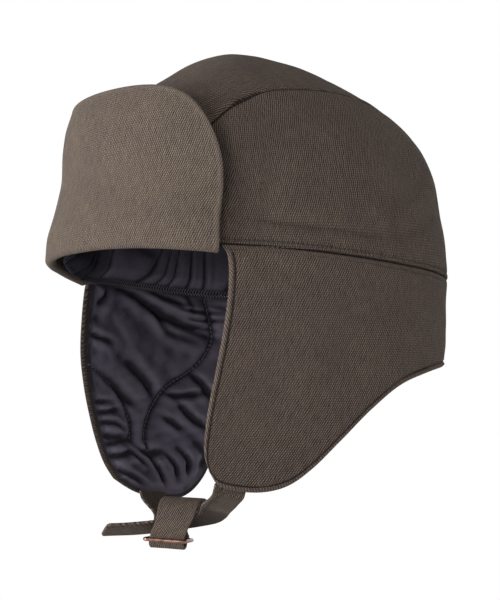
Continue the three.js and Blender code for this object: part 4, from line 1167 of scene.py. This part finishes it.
def stitch_grids(places, headings, normals, size, seed):
    """Ellipsoids of half sizes size = (along, across, up), one for each place."""
    rng = np.random.default_rng(seed)
    turn = np.linspace(0, 2 * np.pi, 7)
    tilt = np.linspace(-np.pi / 2, np.pi / 2, 6)
    turn, tilt = np.meshgrid(turn, tilt)
    unit = np.stack([np.sin(tilt), np.cos(tilt) * np.cos(turn), np.cos(tilt) * np.sin(turn)], -1)
    normals = normals - headings * (normals * headings).sum(1, keepdims=True)
    normals = normals / np.linalg.norm(normals, axis=1, keepdims=True)
    across = np.cross(normals, headings)
    slant = rng.uniform(-0.08, 0.08, (len(places), 1)) + 0.06
    headings = headings + across * slant
    length = size[0] * rng.uniform(0.9, 1.1, len(places))
    axes = np.stack([headings * length[:, None], across * size[1], normals * size[2]], 1)
    points = places[:, None, None] + np.einsum("abk,nkc->nabc", unit, axes)
    count = unit.shape[0] * unit.shape[1]
    quads = grid_quads(*unit.shape[:2]) + (np.arange(len(places)) * count)[:, None, None]
    flat = np.broadcast_to(np.stack([turn, tilt * size[0]], -1), points.shape[:3] + (2,))
    return points, quads, flat

def make_stitches(name, rows, spacing=2.6, size=(1.05, 0.3, 0.24), seed=1):
    """rows is a list of (line, normals), both given at the same points."""
    points, quads, flat, start = [], [], [], 0
    for k, (line, normals) in enumerate(rows):
        length = lengths(line)
        share, place, heading = along_line(line, spacing, 1.0)
        normal = np.stack([np.interp(share * length[-1], length, normals[:, c]) for c in range(3)], -1)
        p, q, f = stitch_grids(place, heading, normal, size, seed + k)
        points.append(p.reshape(-1, 3))
        quads.append(q.reshape(-1, 4) + start)
        flat.append(f.reshape(-1, 2))
        start += len(points[-1])
    made = closed_mesh(name, np.concatenate(points), np.concatenate(quads), np.concatenate(flat))
    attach(made, "root")
    print(name, len(made.data.polygons), "faces")
    return made

# %% Stitches above the crown seam
def crown_row(phis, height, inset):
    """A line on the crown at a height above its seam, with the outward direction."""
    z = np.full(len(phis), height)
    line = crown_point(phis, z, inset) + np.array([0, 0, 0.15])
    out = line - crown_point(phis, z, inset + 2.0)
    return line, out / np.linalg.norm(out, axis=1, keepdims=True)

crown_stitches = make_stitches(
    "crown_topstitch", [crown_row(np.linspace(-302, -58, 700), ROW_HEIGHT, 0.42)], seed=3)

# %% Stitches round the peak
def peak_row(inside):
    """A line a few millimetres inside the peak's outline, by stepping across the outline."""
    share = even_peak_shares(160)
    u, w = share * PEAK_HALF_ANGLE * MM_ROUND, peak_top(share)
    du, dw = np.gradient(u), np.gradient(w)
    norm = np.hypot(du, dw)
    iu, iw = u + dw / norm * inside, w - du / norm * inside
    keep = (iw > -2) & (iw < PEAK_HEIGHT)
    phi, z = iu[keep] / MM_ROUND, iw[keep]
    line = peak_point(phi, z, 0.28 + 0 * phi)
    out = line - peak_point(phi, z, 2.0 + 0 * phi)
    return line, out / np.linalg.norm(out, axis=1, keepdims=True)

peak_stitches = make_stitches(
    "peak_topstitch", [peak_row(2.8)], spacing=2.7, size=(0.85, 0.22, 0.18), seed=5)

# %% Stitches on the straps
def strap_row(centres, acrosses, cups, width, share_mm, side):
    """A line along a strap at share_mm from its middle, on the front (1) or back (-1)."""
    total = strap_frame(centres, acrosses, cups, np.zeros(1))[4]
    pos = np.linspace(3.0, total - 2.5, 300)
    middle, across, normal, cup, _ = strap_frame(centres, acrosses, cups, pos)
    sag = cup * (1 - (2 * share_mm / width) ** 2)
    return middle + across * share_mm + normal * (sag + side * 0.62)[:, None], normal * side

strap_stitches = make_stitches("strap_stitches", [
    strap_row(tail_centres, tail_across, tail_cups, TAIL_WIDTH, -(TAIL_WIDTH / 2 - row), face)
    for row in STRAP_ROWS for face in (1, -1)], spacing=2.3, size=(0.95, 0.3, 0.28), seed=9)

# %% Stitches along the quilting lines
def quilt_row(word, path):
    """Follows a quilting line over the finished face: the nearest face point for each step."""
    u, w, face, direction = lining_faces[word]
    near = (u[..., None] - path[:, 0]) ** 2 + (w[..., None] - path[:, 1]) ** 2
    near = near.reshape(-1, len(path)).argmin(0)
    line, out = face.reshape(-1, 3)[near], direction.reshape(-1, 3)[near]
    keep = np.concatenate([[True], np.linalg.norm(np.diff(line, axis=0), axis=1) > 1e-6])
    line, out = line[keep], out[keep]
    kernel = np.ones(5) / 5
    line = np.stack([np.convolve(np.pad(line[:, k], 2, "edge"), kernel, "valid") for k in range(3)], -1)
    return line + out * 0.12, out

quilt_stitches = [
    make_stitches(f"quilt_stitches_{word}", [
        quilt_row(word, even_curve(path, np.linspace(0, 1, 90))) for path in quilt_paths(word)],
        spacing=2.6, size=(0.95, 0.22, 0.18), seed=20 + k)
    for k, word in enumerate(("left", "right"))]

# %% [markdown]
# ## The overlocked joint
# Where the crown lining meets the flap linings the edges are bound with thread, and the
# stitches look like a row of arrowheads. Each arrowhead is two short slanted stitches, one
# above the joint and one below it.

# %% Overlock thread
def overlock(name, row, seed):
    """Slanted stitches in a row above the joint, for row 1, or below it, for row -1."""
    phi = np.linspace(-302, -46, 1700)
    a = (phi + 180) % 360 - 180
    z = joint_z(a) + 1.0 * row
    side = np.where(a < 0, -1, 1)
    low = flap_point(1, np.abs(a), np.minimum(z, 0), 6.1) * np.stack([side, 0 * side + 1, 0 * side + 1], -1)
    high = crown_point(a, np.maximum(z, 0), 6.1 + 0 * a, swells=False)
    line = np.where((z < 0)[:, None], low, high)
    share, place, heading = along_line(line, 1.75)
    turn = np.interp(share, np.linspace(0, 1, len(phi)), phi)
    inwards = np.stack([-np.sin(np.radians(turn)), np.cos(np.radians(turn)), 0 * turn], -1)
    slanted = np.array([0, 0, row * 0.76]) - heading * 0.65
    points, quads, flat = stitch_grids(place, slanted, inwards, (1.3, 0.3, 0.3), seed)
    # the thread is painted dark as shade inside the brow
    brow = 0.95 - 0.9 * smooth(44, 84, np.abs((turn + 180) % 360 - 180))
    dark = np.broadcast_to(brow[:, None, None], points.shape[:3])
    made = closed_mesh(name, points.reshape(-1, 3), quads.reshape(-1, 4), flat.reshape(-1, 2), dark.ravel())
    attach(made, "root")
    print(name, len(made.data.polygons), "faces")
    return made

overlocks = [overlock("overlock_upper", 1, 1), overlock("overlock_lower", -1, 2)]

# %% [markdown]
# ## Twill
# Twill is woven so that fine steep ribs run across the cloth. The weave is one shader node
# group that reads the flat cut from the UV map: a rib is a sine wave across the rib's
# direction, broken into short beads along it, and larger noise makes the dye uneven. All
# twill uses the same group: the peak in a lighter tone, and the sewing thread in its own. The
# edge attribute makes edges lighter with wear, and paints shade into seams, grooves and
# sheltered cloth and painted light onto a few folds.

# %% Node helpers
def fill(tree, sockets, values):
    """Links each value that is a socket, and sets each one that is a number or a colour."""
    for key, value in values.items():
        if isinstance(value, bpy.types.NodeSocket):
            tree.links.new(value, sockets[key])
        else:
            sockets[key].default_value = value

def add(tree, kind, inputs=None, **settings):
    """Adds a node, sets its properties and fills or links its inputs."""
    node = tree.nodes.new(kind)
    for key, value in settings.items():
        setattr(node, key, value)
    fill(tree, node.inputs, inputs or {})
    return node

def maths(tree):
    """A short name for the maths nodes of a tree: m("SINE", x) is the sine of x."""
    def m(operation, a, b=0.0, c=0.0):
        return add(tree, "ShaderNodeMath", {0: a, 1: b, 2: c}, operation=operation).outputs[0]
    return m

def remap(tree, value, low, high, to_low=0.0, to_high=1.0):
    """Straight map of a value, held at both ends: low becomes to_low and high to_high."""
    limits = {"Value": value, 1: low, 2: high, 3: to_low, 4: to_high}
    return add(tree, "ShaderNodeMapRange", limits).outputs[0]

def noise(tree, vector, scale, detail, **more):
    """Soft noise over the flat cut, in the outputs Color and Fac."""
    inputs = {"Vector": vector, "Scale": scale, "Detail": detail, **more}
    return add(tree, "ShaderNodeTexNoise", inputs, noise_dimensions="2D").outputs

def blend_colour(tree, factor, a, b, kind="MIX"):
    """Colour a where the factor is 0 and b where it is 1, or their product."""
    inputs = {0: factor, 6: a, 7: b}
    return add(tree, "ShaderNodeMix", inputs, data_type="RGBA", blend_type=kind).outputs[2]

def new_material(name):
    """A material, its tree and its shader."""
    material = bpy.data.materials.new(name)
    material.use_nodes = True
    return material, material.node_tree, material.node_tree.nodes["Principled BSDF"]

def new_group(name, vector, values, results):
    """A node group with one vector input, the given values and the given results."""
    tree = bpy.data.node_groups.new(name, "ShaderNodeTree")
    face = tree.interface
    face.new_socket(vector, in_out="INPUT", socket_type="NodeSocketVector")
    for label, value in values.items():
        face.new_socket(label, in_out="INPUT", socket_type="NodeSocketFloat").default_value = value
    for label in results:
        face.new_socket(label, in_out="OUTPUT", socket_type="NodeSocketFloat")
    return tree, add(tree, "NodeGroupInput").outputs, add(tree, "NodeGroupOutput").inputs

# %% The twill weave group
def twill_weave_group():
    """A rib is ((1 + sin) / 2)^1.5 across its direction and a bead is a sine along it. Noise
    of 3 mm bends both by less than half a millimetre, and finer noise blurs the height."""
    tree, given, results = new_group(
        "twill weave", "Cloth", {"Rib Pitch": 1.06, "Bead Length": 1.3, "Rib Angle": 1.2, "Fuzz": 0.3},
        ("Height", "Thread", "Dye"))
    m = maths(tree)
    warp = noise(tree, given["Cloth"], 0.35, 2.0)["Color"]
    shift = add(tree, "ShaderNodeVectorMath", {0: warp, 1: (0.5, 0.5, 0.5)}, operation="SUBTRACT")
    shift = add(tree, "ShaderNodeVectorMath", {0: shift.outputs[0], "Scale": 0.9}, operation="SCALE")
    cloth = add(tree, "ShaderNodeVectorMath", {0: given["Cloth"], 1: shift.outputs[0]}, operation="ADD")
    turned = add(
        tree, "ShaderNodeVectorRotate", {"Vector": cloth.outputs[0], "Angle": given["Rib Angle"]},
        rotation_type="Z_AXIS", invert=True)
    parts = add(tree, "ShaderNodeSeparateXYZ", {0: turned.outputs[0]}).outputs
    ribs = m("DIVIDE", parts["Y"], given["Rib Pitch"])
    rib = m("MULTIPLY_ADD", m("SINE", m("MULTIPLY", ribs, 2 * math.pi)), 0.5, 0.5)
    rib = m("POWER", rib, 1.5)
    beads = m("ADD", m("DIVIDE", parts["X"], given["Bead Length"]), m("MULTIPLY", m("FLOOR", ribs), 0.37))
    bead = m("MULTIPLY_ADD", m("SINE", m("MULTIPLY", beads, 2 * math.pi)), 0.5, 0.5)
    fuzz = noise(tree, cloth.outputs[0], 2.6, 3.0, Roughness=0.65)["Fac"]
    high = m("MULTIPLY_ADD", bead, 0.35, m("MULTIPLY", rib, 0.65))
    streaks = add(tree, "ShaderNodeMapping", {"Vector": cloth.outputs[0], "Scale": (0.9, 0.16, 1)})
    yarn = noise(tree, streaks.outputs[0], 1.0, 3.0)["Fac"]
    grain = noise(tree, given["Cloth"], 0.75, 3.0, Roughness=0.7)["Fac"]
    uneven = m("ADD", remap(tree, yarn, 0.3, 0.7, -0.1, 0.17), remap(tree, grain, 0.3, 0.7, -0.06, 0.06))
    beaded = m("MULTIPLY", rib, m("MULTIPLY_ADD", bead, 0.6, 0.45))
    fill(tree, results, {
        "Height": add(tree, "ShaderNodeMix", {0: given["Fuzz"], 2: high, 3: fuzz}).outputs[0],
        "Thread": m("MULTIPLY_ADD", beaded, 0.9, m("MULTIPLY_ADD", uneven, 0.6, 0.03)),
        "Dye": noise(tree, given["Cloth"], 0.045, 4.0, Roughness=0.6)["Fac"]})
    return tree

twill_weave = twill_weave_group()
print("twill weave nodes:", len(twill_weave.nodes))

# %% The stitch row group
def stitch_row_group():
    """Seam is the vector (along, off): a stitch is a short capsule in each step along the row.
    Where two stitches meet the needle has drawn the cloth in, and it puckers beside them."""
    tree, given, results = new_group(
        "stitch row", "Seam", {"Pitch": 2.6, "Half Length": 0.72, "Width": 0.34, "Reach": 2.2},
        ("Thread", "Hole", "Pucker"))
    m = maths(tree)
    parts = add(tree, "ShaderNodeSeparateXYZ", {0: given["Seam"]}).outputs
    off, pitch = parts["Y"], given["Pitch"]

    def squared(a):
        return m("MULTIPLY", a, a)

    step = m("FRACT", m("DIVIDE", parts["X"], pitch))
    here = m("MULTIPLY", m("SUBTRACT", step, 0.5), pitch)
    beyond = m("MAXIMUM", m("SUBTRACT", m("ABSOLUTE", here), given["Half Length"]), 0.0)
    slanted = m("MULTIPLY_ADD", here, -0.12, off)
    away = m("SQRT", m("ADD", squared(beyond), squared(slanted)))
    edge = m("SUBTRACT", m("MULTIPLY", pitch, 0.5), m("ABSOLUTE", here))
    gap = m("SQRT", m("ADD", squared(edge), squared(off)))
    fade = m("EXPONENT", m("MULTIPLY", squared(m("DIVIDE", off, given["Reach"])), -1.0))
    swing = m("COSINE", m("MULTIPLY", m("MULTIPLY_ADD", off, 0.1, step), 2 * math.pi))
    groove = m("EXPONENT", m("MULTIPLY", squared(m("DIVIDE", off, 0.8)), -1.0))
    fill(tree, results, {
        "Thread": remap(tree, m("DIVIDE", away, given["Width"]), 1.15, 0.75),
        # the needle holes are painted dark as shade
        "Hole": remap(tree, gap, 0.62, 0.2),
        "Pucker": m("MULTIPLY_ADD", m("MULTIPLY", fade, swing), -0.5, m("MULTIPLY", groove, -0.6))})
    return tree

stitch_row = stitch_row_group()
print("stitch row nodes:", len(stitch_row.nodes))

def stitched_surface(tree, colour, thread, height, strength, distance, pitch, depth, hole_shade):
    """Lays thread over a colour, paints shade into the needle holes, and adds puckers below a finer bump."""
    seam = add(tree, "ShaderNodeAttribute", attribute_name="seam").outputs["Vector"]
    row = add(tree, "ShaderNodeGroup", {"Pitch": pitch, "Seam": seam}, node_tree=stitch_row).outputs
    m = maths(tree)
    colour = blend_colour(tree, m("MULTIPLY", row["Thread"], 0.85), colour, thread)
    # painted shade in the needle holes
    colour = blend_colour(tree, m("MULTIPLY", row["Hole"], hole_shade), colour, (0.006, 0.005, 0.005, 1))
    coarse = add(tree, "ShaderNodeBump", {"Strength": 1.0, "Distance": depth, "Height": row["Pucker"]})
    fine = add(tree, "ShaderNodeBump", {
        "Strength": strength, "Distance": distance, "Height": height, "Normal": coarse.outputs[0]})
    return colour, fine.outputs[0]

# %% Twill material
def twill_material(name, valley, top, edge_tone, bump):
    """Valley and top colours of the ribs. The edge attribute blends towards the edge_tone colour,
    for wear and a little painted light, by a quarter of its value above 0, and towards near
    black, as painted shade, by 0.85 of its value below 0."""
    material, tree, shader = new_material(name)
    m = maths(tree)
    cloth = add(tree, "ShaderNodeUVMap", uv_map="cloth").outputs[0]
    weave = add(tree, "ShaderNodeGroup", {"Cloth": cloth}, node_tree=twill_weave).outputs
    colour = blend_colour(tree, weave["Thread"], valley, top)
    tone = blend_colour(
        tree, remap(tree, weave["Dye"], 0.35, 0.68), (0.94, 0.93, 0.95, 1), (1.05, 1.05, 1.0, 1))
    colour = blend_colour(tree, 1.0, colour, tone, "MULTIPLY")
    edge = add(tree, "ShaderNodeAttribute", attribute_name="edge").outputs["Fac"]
    wear_and_painted_highlight = m("MULTIPLY", m("MAXIMUM", edge, 0.0), 0.25)
    painted_darkness = m("MAXIMUM", m("MULTIPLY", edge, -0.85), 0.0)
    colour = blend_colour(tree, wear_and_painted_highlight, colour, edge_tone)
    # painted shade: near black where the edge attribute is below 0
    colour = blend_colour(tree, painted_darkness, colour, (0.009, 0.0065, 0.006, 1))
    colour, normal = stitched_surface(
        tree, colour, (0.07, 0.055, 0.046, 1), weave["Height"], bump, 0.00025, 2.6, 0.0006, 0.6)
    fill(tree, shader.inputs, {
        "Base Color": colour, "Roughness": remap(tree, weave["Height"], 0.0, 1.0, 0.97, 0.82),
        "Normal": normal, "Specular IOR Level": 0.12, "Sheen Weight": 0.05,
        "Sheen Roughness": 0.45, "Sheen Tint": (0.75, 0.68, 0.6, 1)})
    return material

twill = twill_material(
    "brown twill", (0.026, 0.019, 0.0165, 1), (0.225, 0.173, 0.143, 1), (0.14, 0.11, 0.092, 1), 0.85)
peak_twill = twill_material(
    "peak twill", (0.039, 0.0295, 0.0245, 1), (0.265, 0.211, 0.172, 1), (0.19, 0.155, 0.13, 1), 0.7)
thread_cloth = twill_material(
    "brown sewing thread", (0.1, 0.078, 0.066, 1), (0.19, 0.152, 0.13, 1), (0.1, 0.08, 0.06, 1), 0.2)
print("twill materials made")

# %% [markdown]
# ## Satin, thread and copper
# Satin is smoother than twill, with a fine crinkle in the bump and a faint sheen. Its edge
# attribute is 1 in a hollow, which gets painted shade and is duller, and below 0 on a ridge,
# which gets a painted highlight. The slide is metal with a thin, uneven brown tarnish.

# %% Satin
def satin_material(name, deep, light, roughness):
    """Two tones blended by broad noise. The painted shade of the hollows is frayed by noise, so
    that it has no sharp border, and in it the cloth is painted nearly black and its roughness
    goes to 1. Ridges get a painted highlight."""
    material, tree, shader = new_material(name)
    m = maths(tree)
    cloth = add(tree, "ShaderNodeUVMap", uv_map="cloth").outputs[0]
    crinkle = noise(tree, cloth, 0.13, 4.0, Roughness=0.5, Distortion=0.4)["Fac"]
    height = m("MULTIPLY_ADD", noise(tree, cloth, 3.2, 2.0)["Fac"], 0.06, crinkle)
    colour = blend_colour(tree, noise(tree, cloth, 0.05, 3.0)["Fac"], deep, light)
    edge = add(tree, "ShaderNodeAttribute", attribute_name="edge").outputs["Fac"]
    frayed = m("MULTIPLY_ADD", noise(tree, cloth, 0.4, 3.0)["Fac"], 0.3, -0.15)
    # painted shade in the hollows
    hollow = remap(tree, m("ADD", edge, frayed), 0.0, 1.02, 0.0, 0.86)
    # painted highlight on the ridges
    ridge = m("MAXIMUM", m("MULTIPLY", edge, -0.55), 0.0)
    colour = blend_colour(tree, hollow, colour, (0.0035, 0.003, 0.0045, 1))
    colour = blend_colour(tree, ridge, colour, (0.16, 0.145, 0.18, 1))
    colour, normal = stitched_surface(
        tree, colour, (0.075, 0.07, 0.092, 1), height, 0.5, 0.0009, 3.0, 0.0002, 0.3)
    rough = remap(tree, crinkle, 0.3, 0.7, roughness - 0.06, roughness + 0.08)
    rough = add(tree, "ShaderNodeMix", {0: hollow, 2: rough, 3: 1.0}).outputs[0]
    fill(tree, shader.inputs, {
        "Base Color": colour, "Roughness": rough, "Normal": normal, "Specular IOR Level": 0.2,
        "Sheen Weight": 0.03, "Sheen Roughness": 0.35, "Sheen Tint": (0.62, 0.6, 0.8, 1)})
    return material

satin = satin_material("navy satin", (0.055, 0.0485, 0.067, 1), (0.106, 0.094, 0.128, 1), 0.46)
thread_satin = satin_material("navy sewing thread", (0.1, 0.094, 0.115, 1), (0.17, 0.16, 0.195, 1), 0.5)
print("satin materials made")

# %% Copper
def copper_material():
    """Noise blends clean copper, which is smoother, with its tarnish."""
    material, tree, shader = new_material("antique copper")
    place = add(tree, "ShaderNodeTexCoord").outputs["Object"]
    tarnish = add(tree, "ShaderNodeTexNoise", {"Vector": place, "Scale": 420.0, "Detail": 4.0})
    tarnish = tarnish.outputs["Fac"]
    mask = remap(tree, tarnish, 0.45, 0.68)
    fill(tree, shader.inputs, {
        "Base Color": blend_colour(tree, mask, (0.44, 0.245, 0.19, 1), (0.16, 0.085, 0.066, 1)),
        "Roughness": remap(tree, tarnish, 0.0, 1.0, 0.2, 0.42), "Metallic": 1.0})
    return material

copper = copper_material()

# %% Put the materials on
for material, pieces in (
        (twill, [*crown_sides, crown_strip, strap_left, strap_right, *ear_flaps]),
        (peak_twill, [peak]), (satin, [crown_lining, *flap_linings]),
        (thread_cloth, [crown_stitches, peak_stitches, strap_stitches]),
        (thread_satin, [*quilt_stitches, *overlocks]), (copper, [slide])):
    for piece in pieces:
        piece.data.materials.append(material)
print("materials:", len(bpy.data.materials))

SHEETS = {  # width and length of the cut in metres, and how it is held
    "crown_strip_cloth": (0.125, 0.365, "stretched", ["crown_lining"]),
    "crown_side_left_cloth": (0.235, 0.11, "stretched", ["crown_lining"]),
    "crown_side_right_cloth": (0.235, 0.11, "stretched", ["crown_lining"]),
    "peak_cloth": (0.21, 0.1, "folded", ["crown_centre_strip"]),
    "ear_flap_left_cloth": (0.205, 0.125, "hung", ["crown_side_left"]),
    "ear_flap_right_cloth": (0.205, 0.125, "hung", ["crown_side_right"]),
    "strap_left_cloth": (0.0175, 0.112, "hung", ["ear_flap_left"]),
    "strap_right_cloth": (0.0205, 0.116, "hung", ["ear_flap_right"])}

for name, (width, length, held, carried_by) in SHEETS.items():
    made = bpy.data.objects[name]

# %% [markdown]
# ## Floor and light
# The hat is held up as on a head, over a pale floor. One large lamp in front lights the peak
# more than the side, and a small weak one, low at the left front, reaches the far lining. The
# world is white behind the hat as the camera sees it, dimmer all round and dimmest above.

# %% Floor
def make_floor():
    """A flat square 0.3 m below the origin."""
    grid = np.linspace(-6, 6, 5)
    x, y = np.meshgrid(grid, grid)
    mesh = bpy.data.meshes.new("floor")
    mesh.from_pydata(np.stack([x, y, 0 * x - 0.3], -1).reshape(-1, 3).tolist(), [], grid_quads(5, 5).tolist())
    floor = bpy.data.objects.new("floor", mesh)
    bpy.context.scene.collection.objects.link(floor)
    material, tree, shader = new_material("pale floor")
    fill(tree, shader.inputs, {"Base Color": (0.86, 0.86, 0.86, 1), "Roughness": 0.9})
    mesh.materials.append(material)
    return floor

floor = make_floor()

# %% Lamps and world
def softbox(name, place, size, watts):
    """A white rectangular lamp that faces the middle of the hat."""
    lamp = bpy.data.lights.new(name, "AREA")
    lamp.shape, lamp.size, lamp.size_y = "RECTANGLE", size[0], size[1]
    lamp.energy = watts
    made = bpy.data.objects.new(name, lamp)
    back = np.array(place, float) - np.array((0, 0, -0.02), float)
    back = back / np.linalg.norm(back)
    right = np.cross([0, 0, 1.0], back)
    right = right / np.linalg.norm(right)
    turn = np.eye(4)
    turn[:3, 0], turn[:3, 1], turn[:3, 2], turn[:3, 3] = right, np.cross(back, right), back, place
    made.matrix_world = turn.T.tolist()
    bpy.context.scene.collection.objects.link(made)
    return made

softbox("key softbox", (-0.55, -2.12, -0.02), (0.9, 0.9), 41)
softbox("fill softbox", (0.68, -0.74, -0.14), (0.22, 0.3), 2.8)

def studio_world():
    """White behind the hat as the camera sees it, and dimmer towards all other sides."""
    behind, dim = (-0.851, 0.511, 0.122), 0.82
    world = bpy.data.worlds.new("studio")
    world.use_nodes = True
    tree = world.node_tree
    place = add(tree, "ShaderNodeTexCoord").outputs["Generated"]
    facing = add(tree, "ShaderNodeVectorMath", {0: place, 1: behind}, operation="DOT_PRODUCT")
    height = add(tree, "ShaderNodeSeparateXYZ", {0: place}).outputs["Z"]
    around = remap(tree, height, 0.1, 0.9, dim, 0.4 * dim)
    level = add(
        tree, "ShaderNodeMapRange", {"Value": facing.outputs["Value"], 1: 0.72, 2: 0.955, 3: around, 4: 1.0},
        interpolation_type="SMOOTHSTEP")
    fill(tree, tree.nodes["Background"].inputs, {0: (1, 1, 1, 1), 1: level.outputs[0]})
    return world

bpy.context.scene.world = studio_world()
bpy.context.scene.view_settings.view_transform = "Standard"
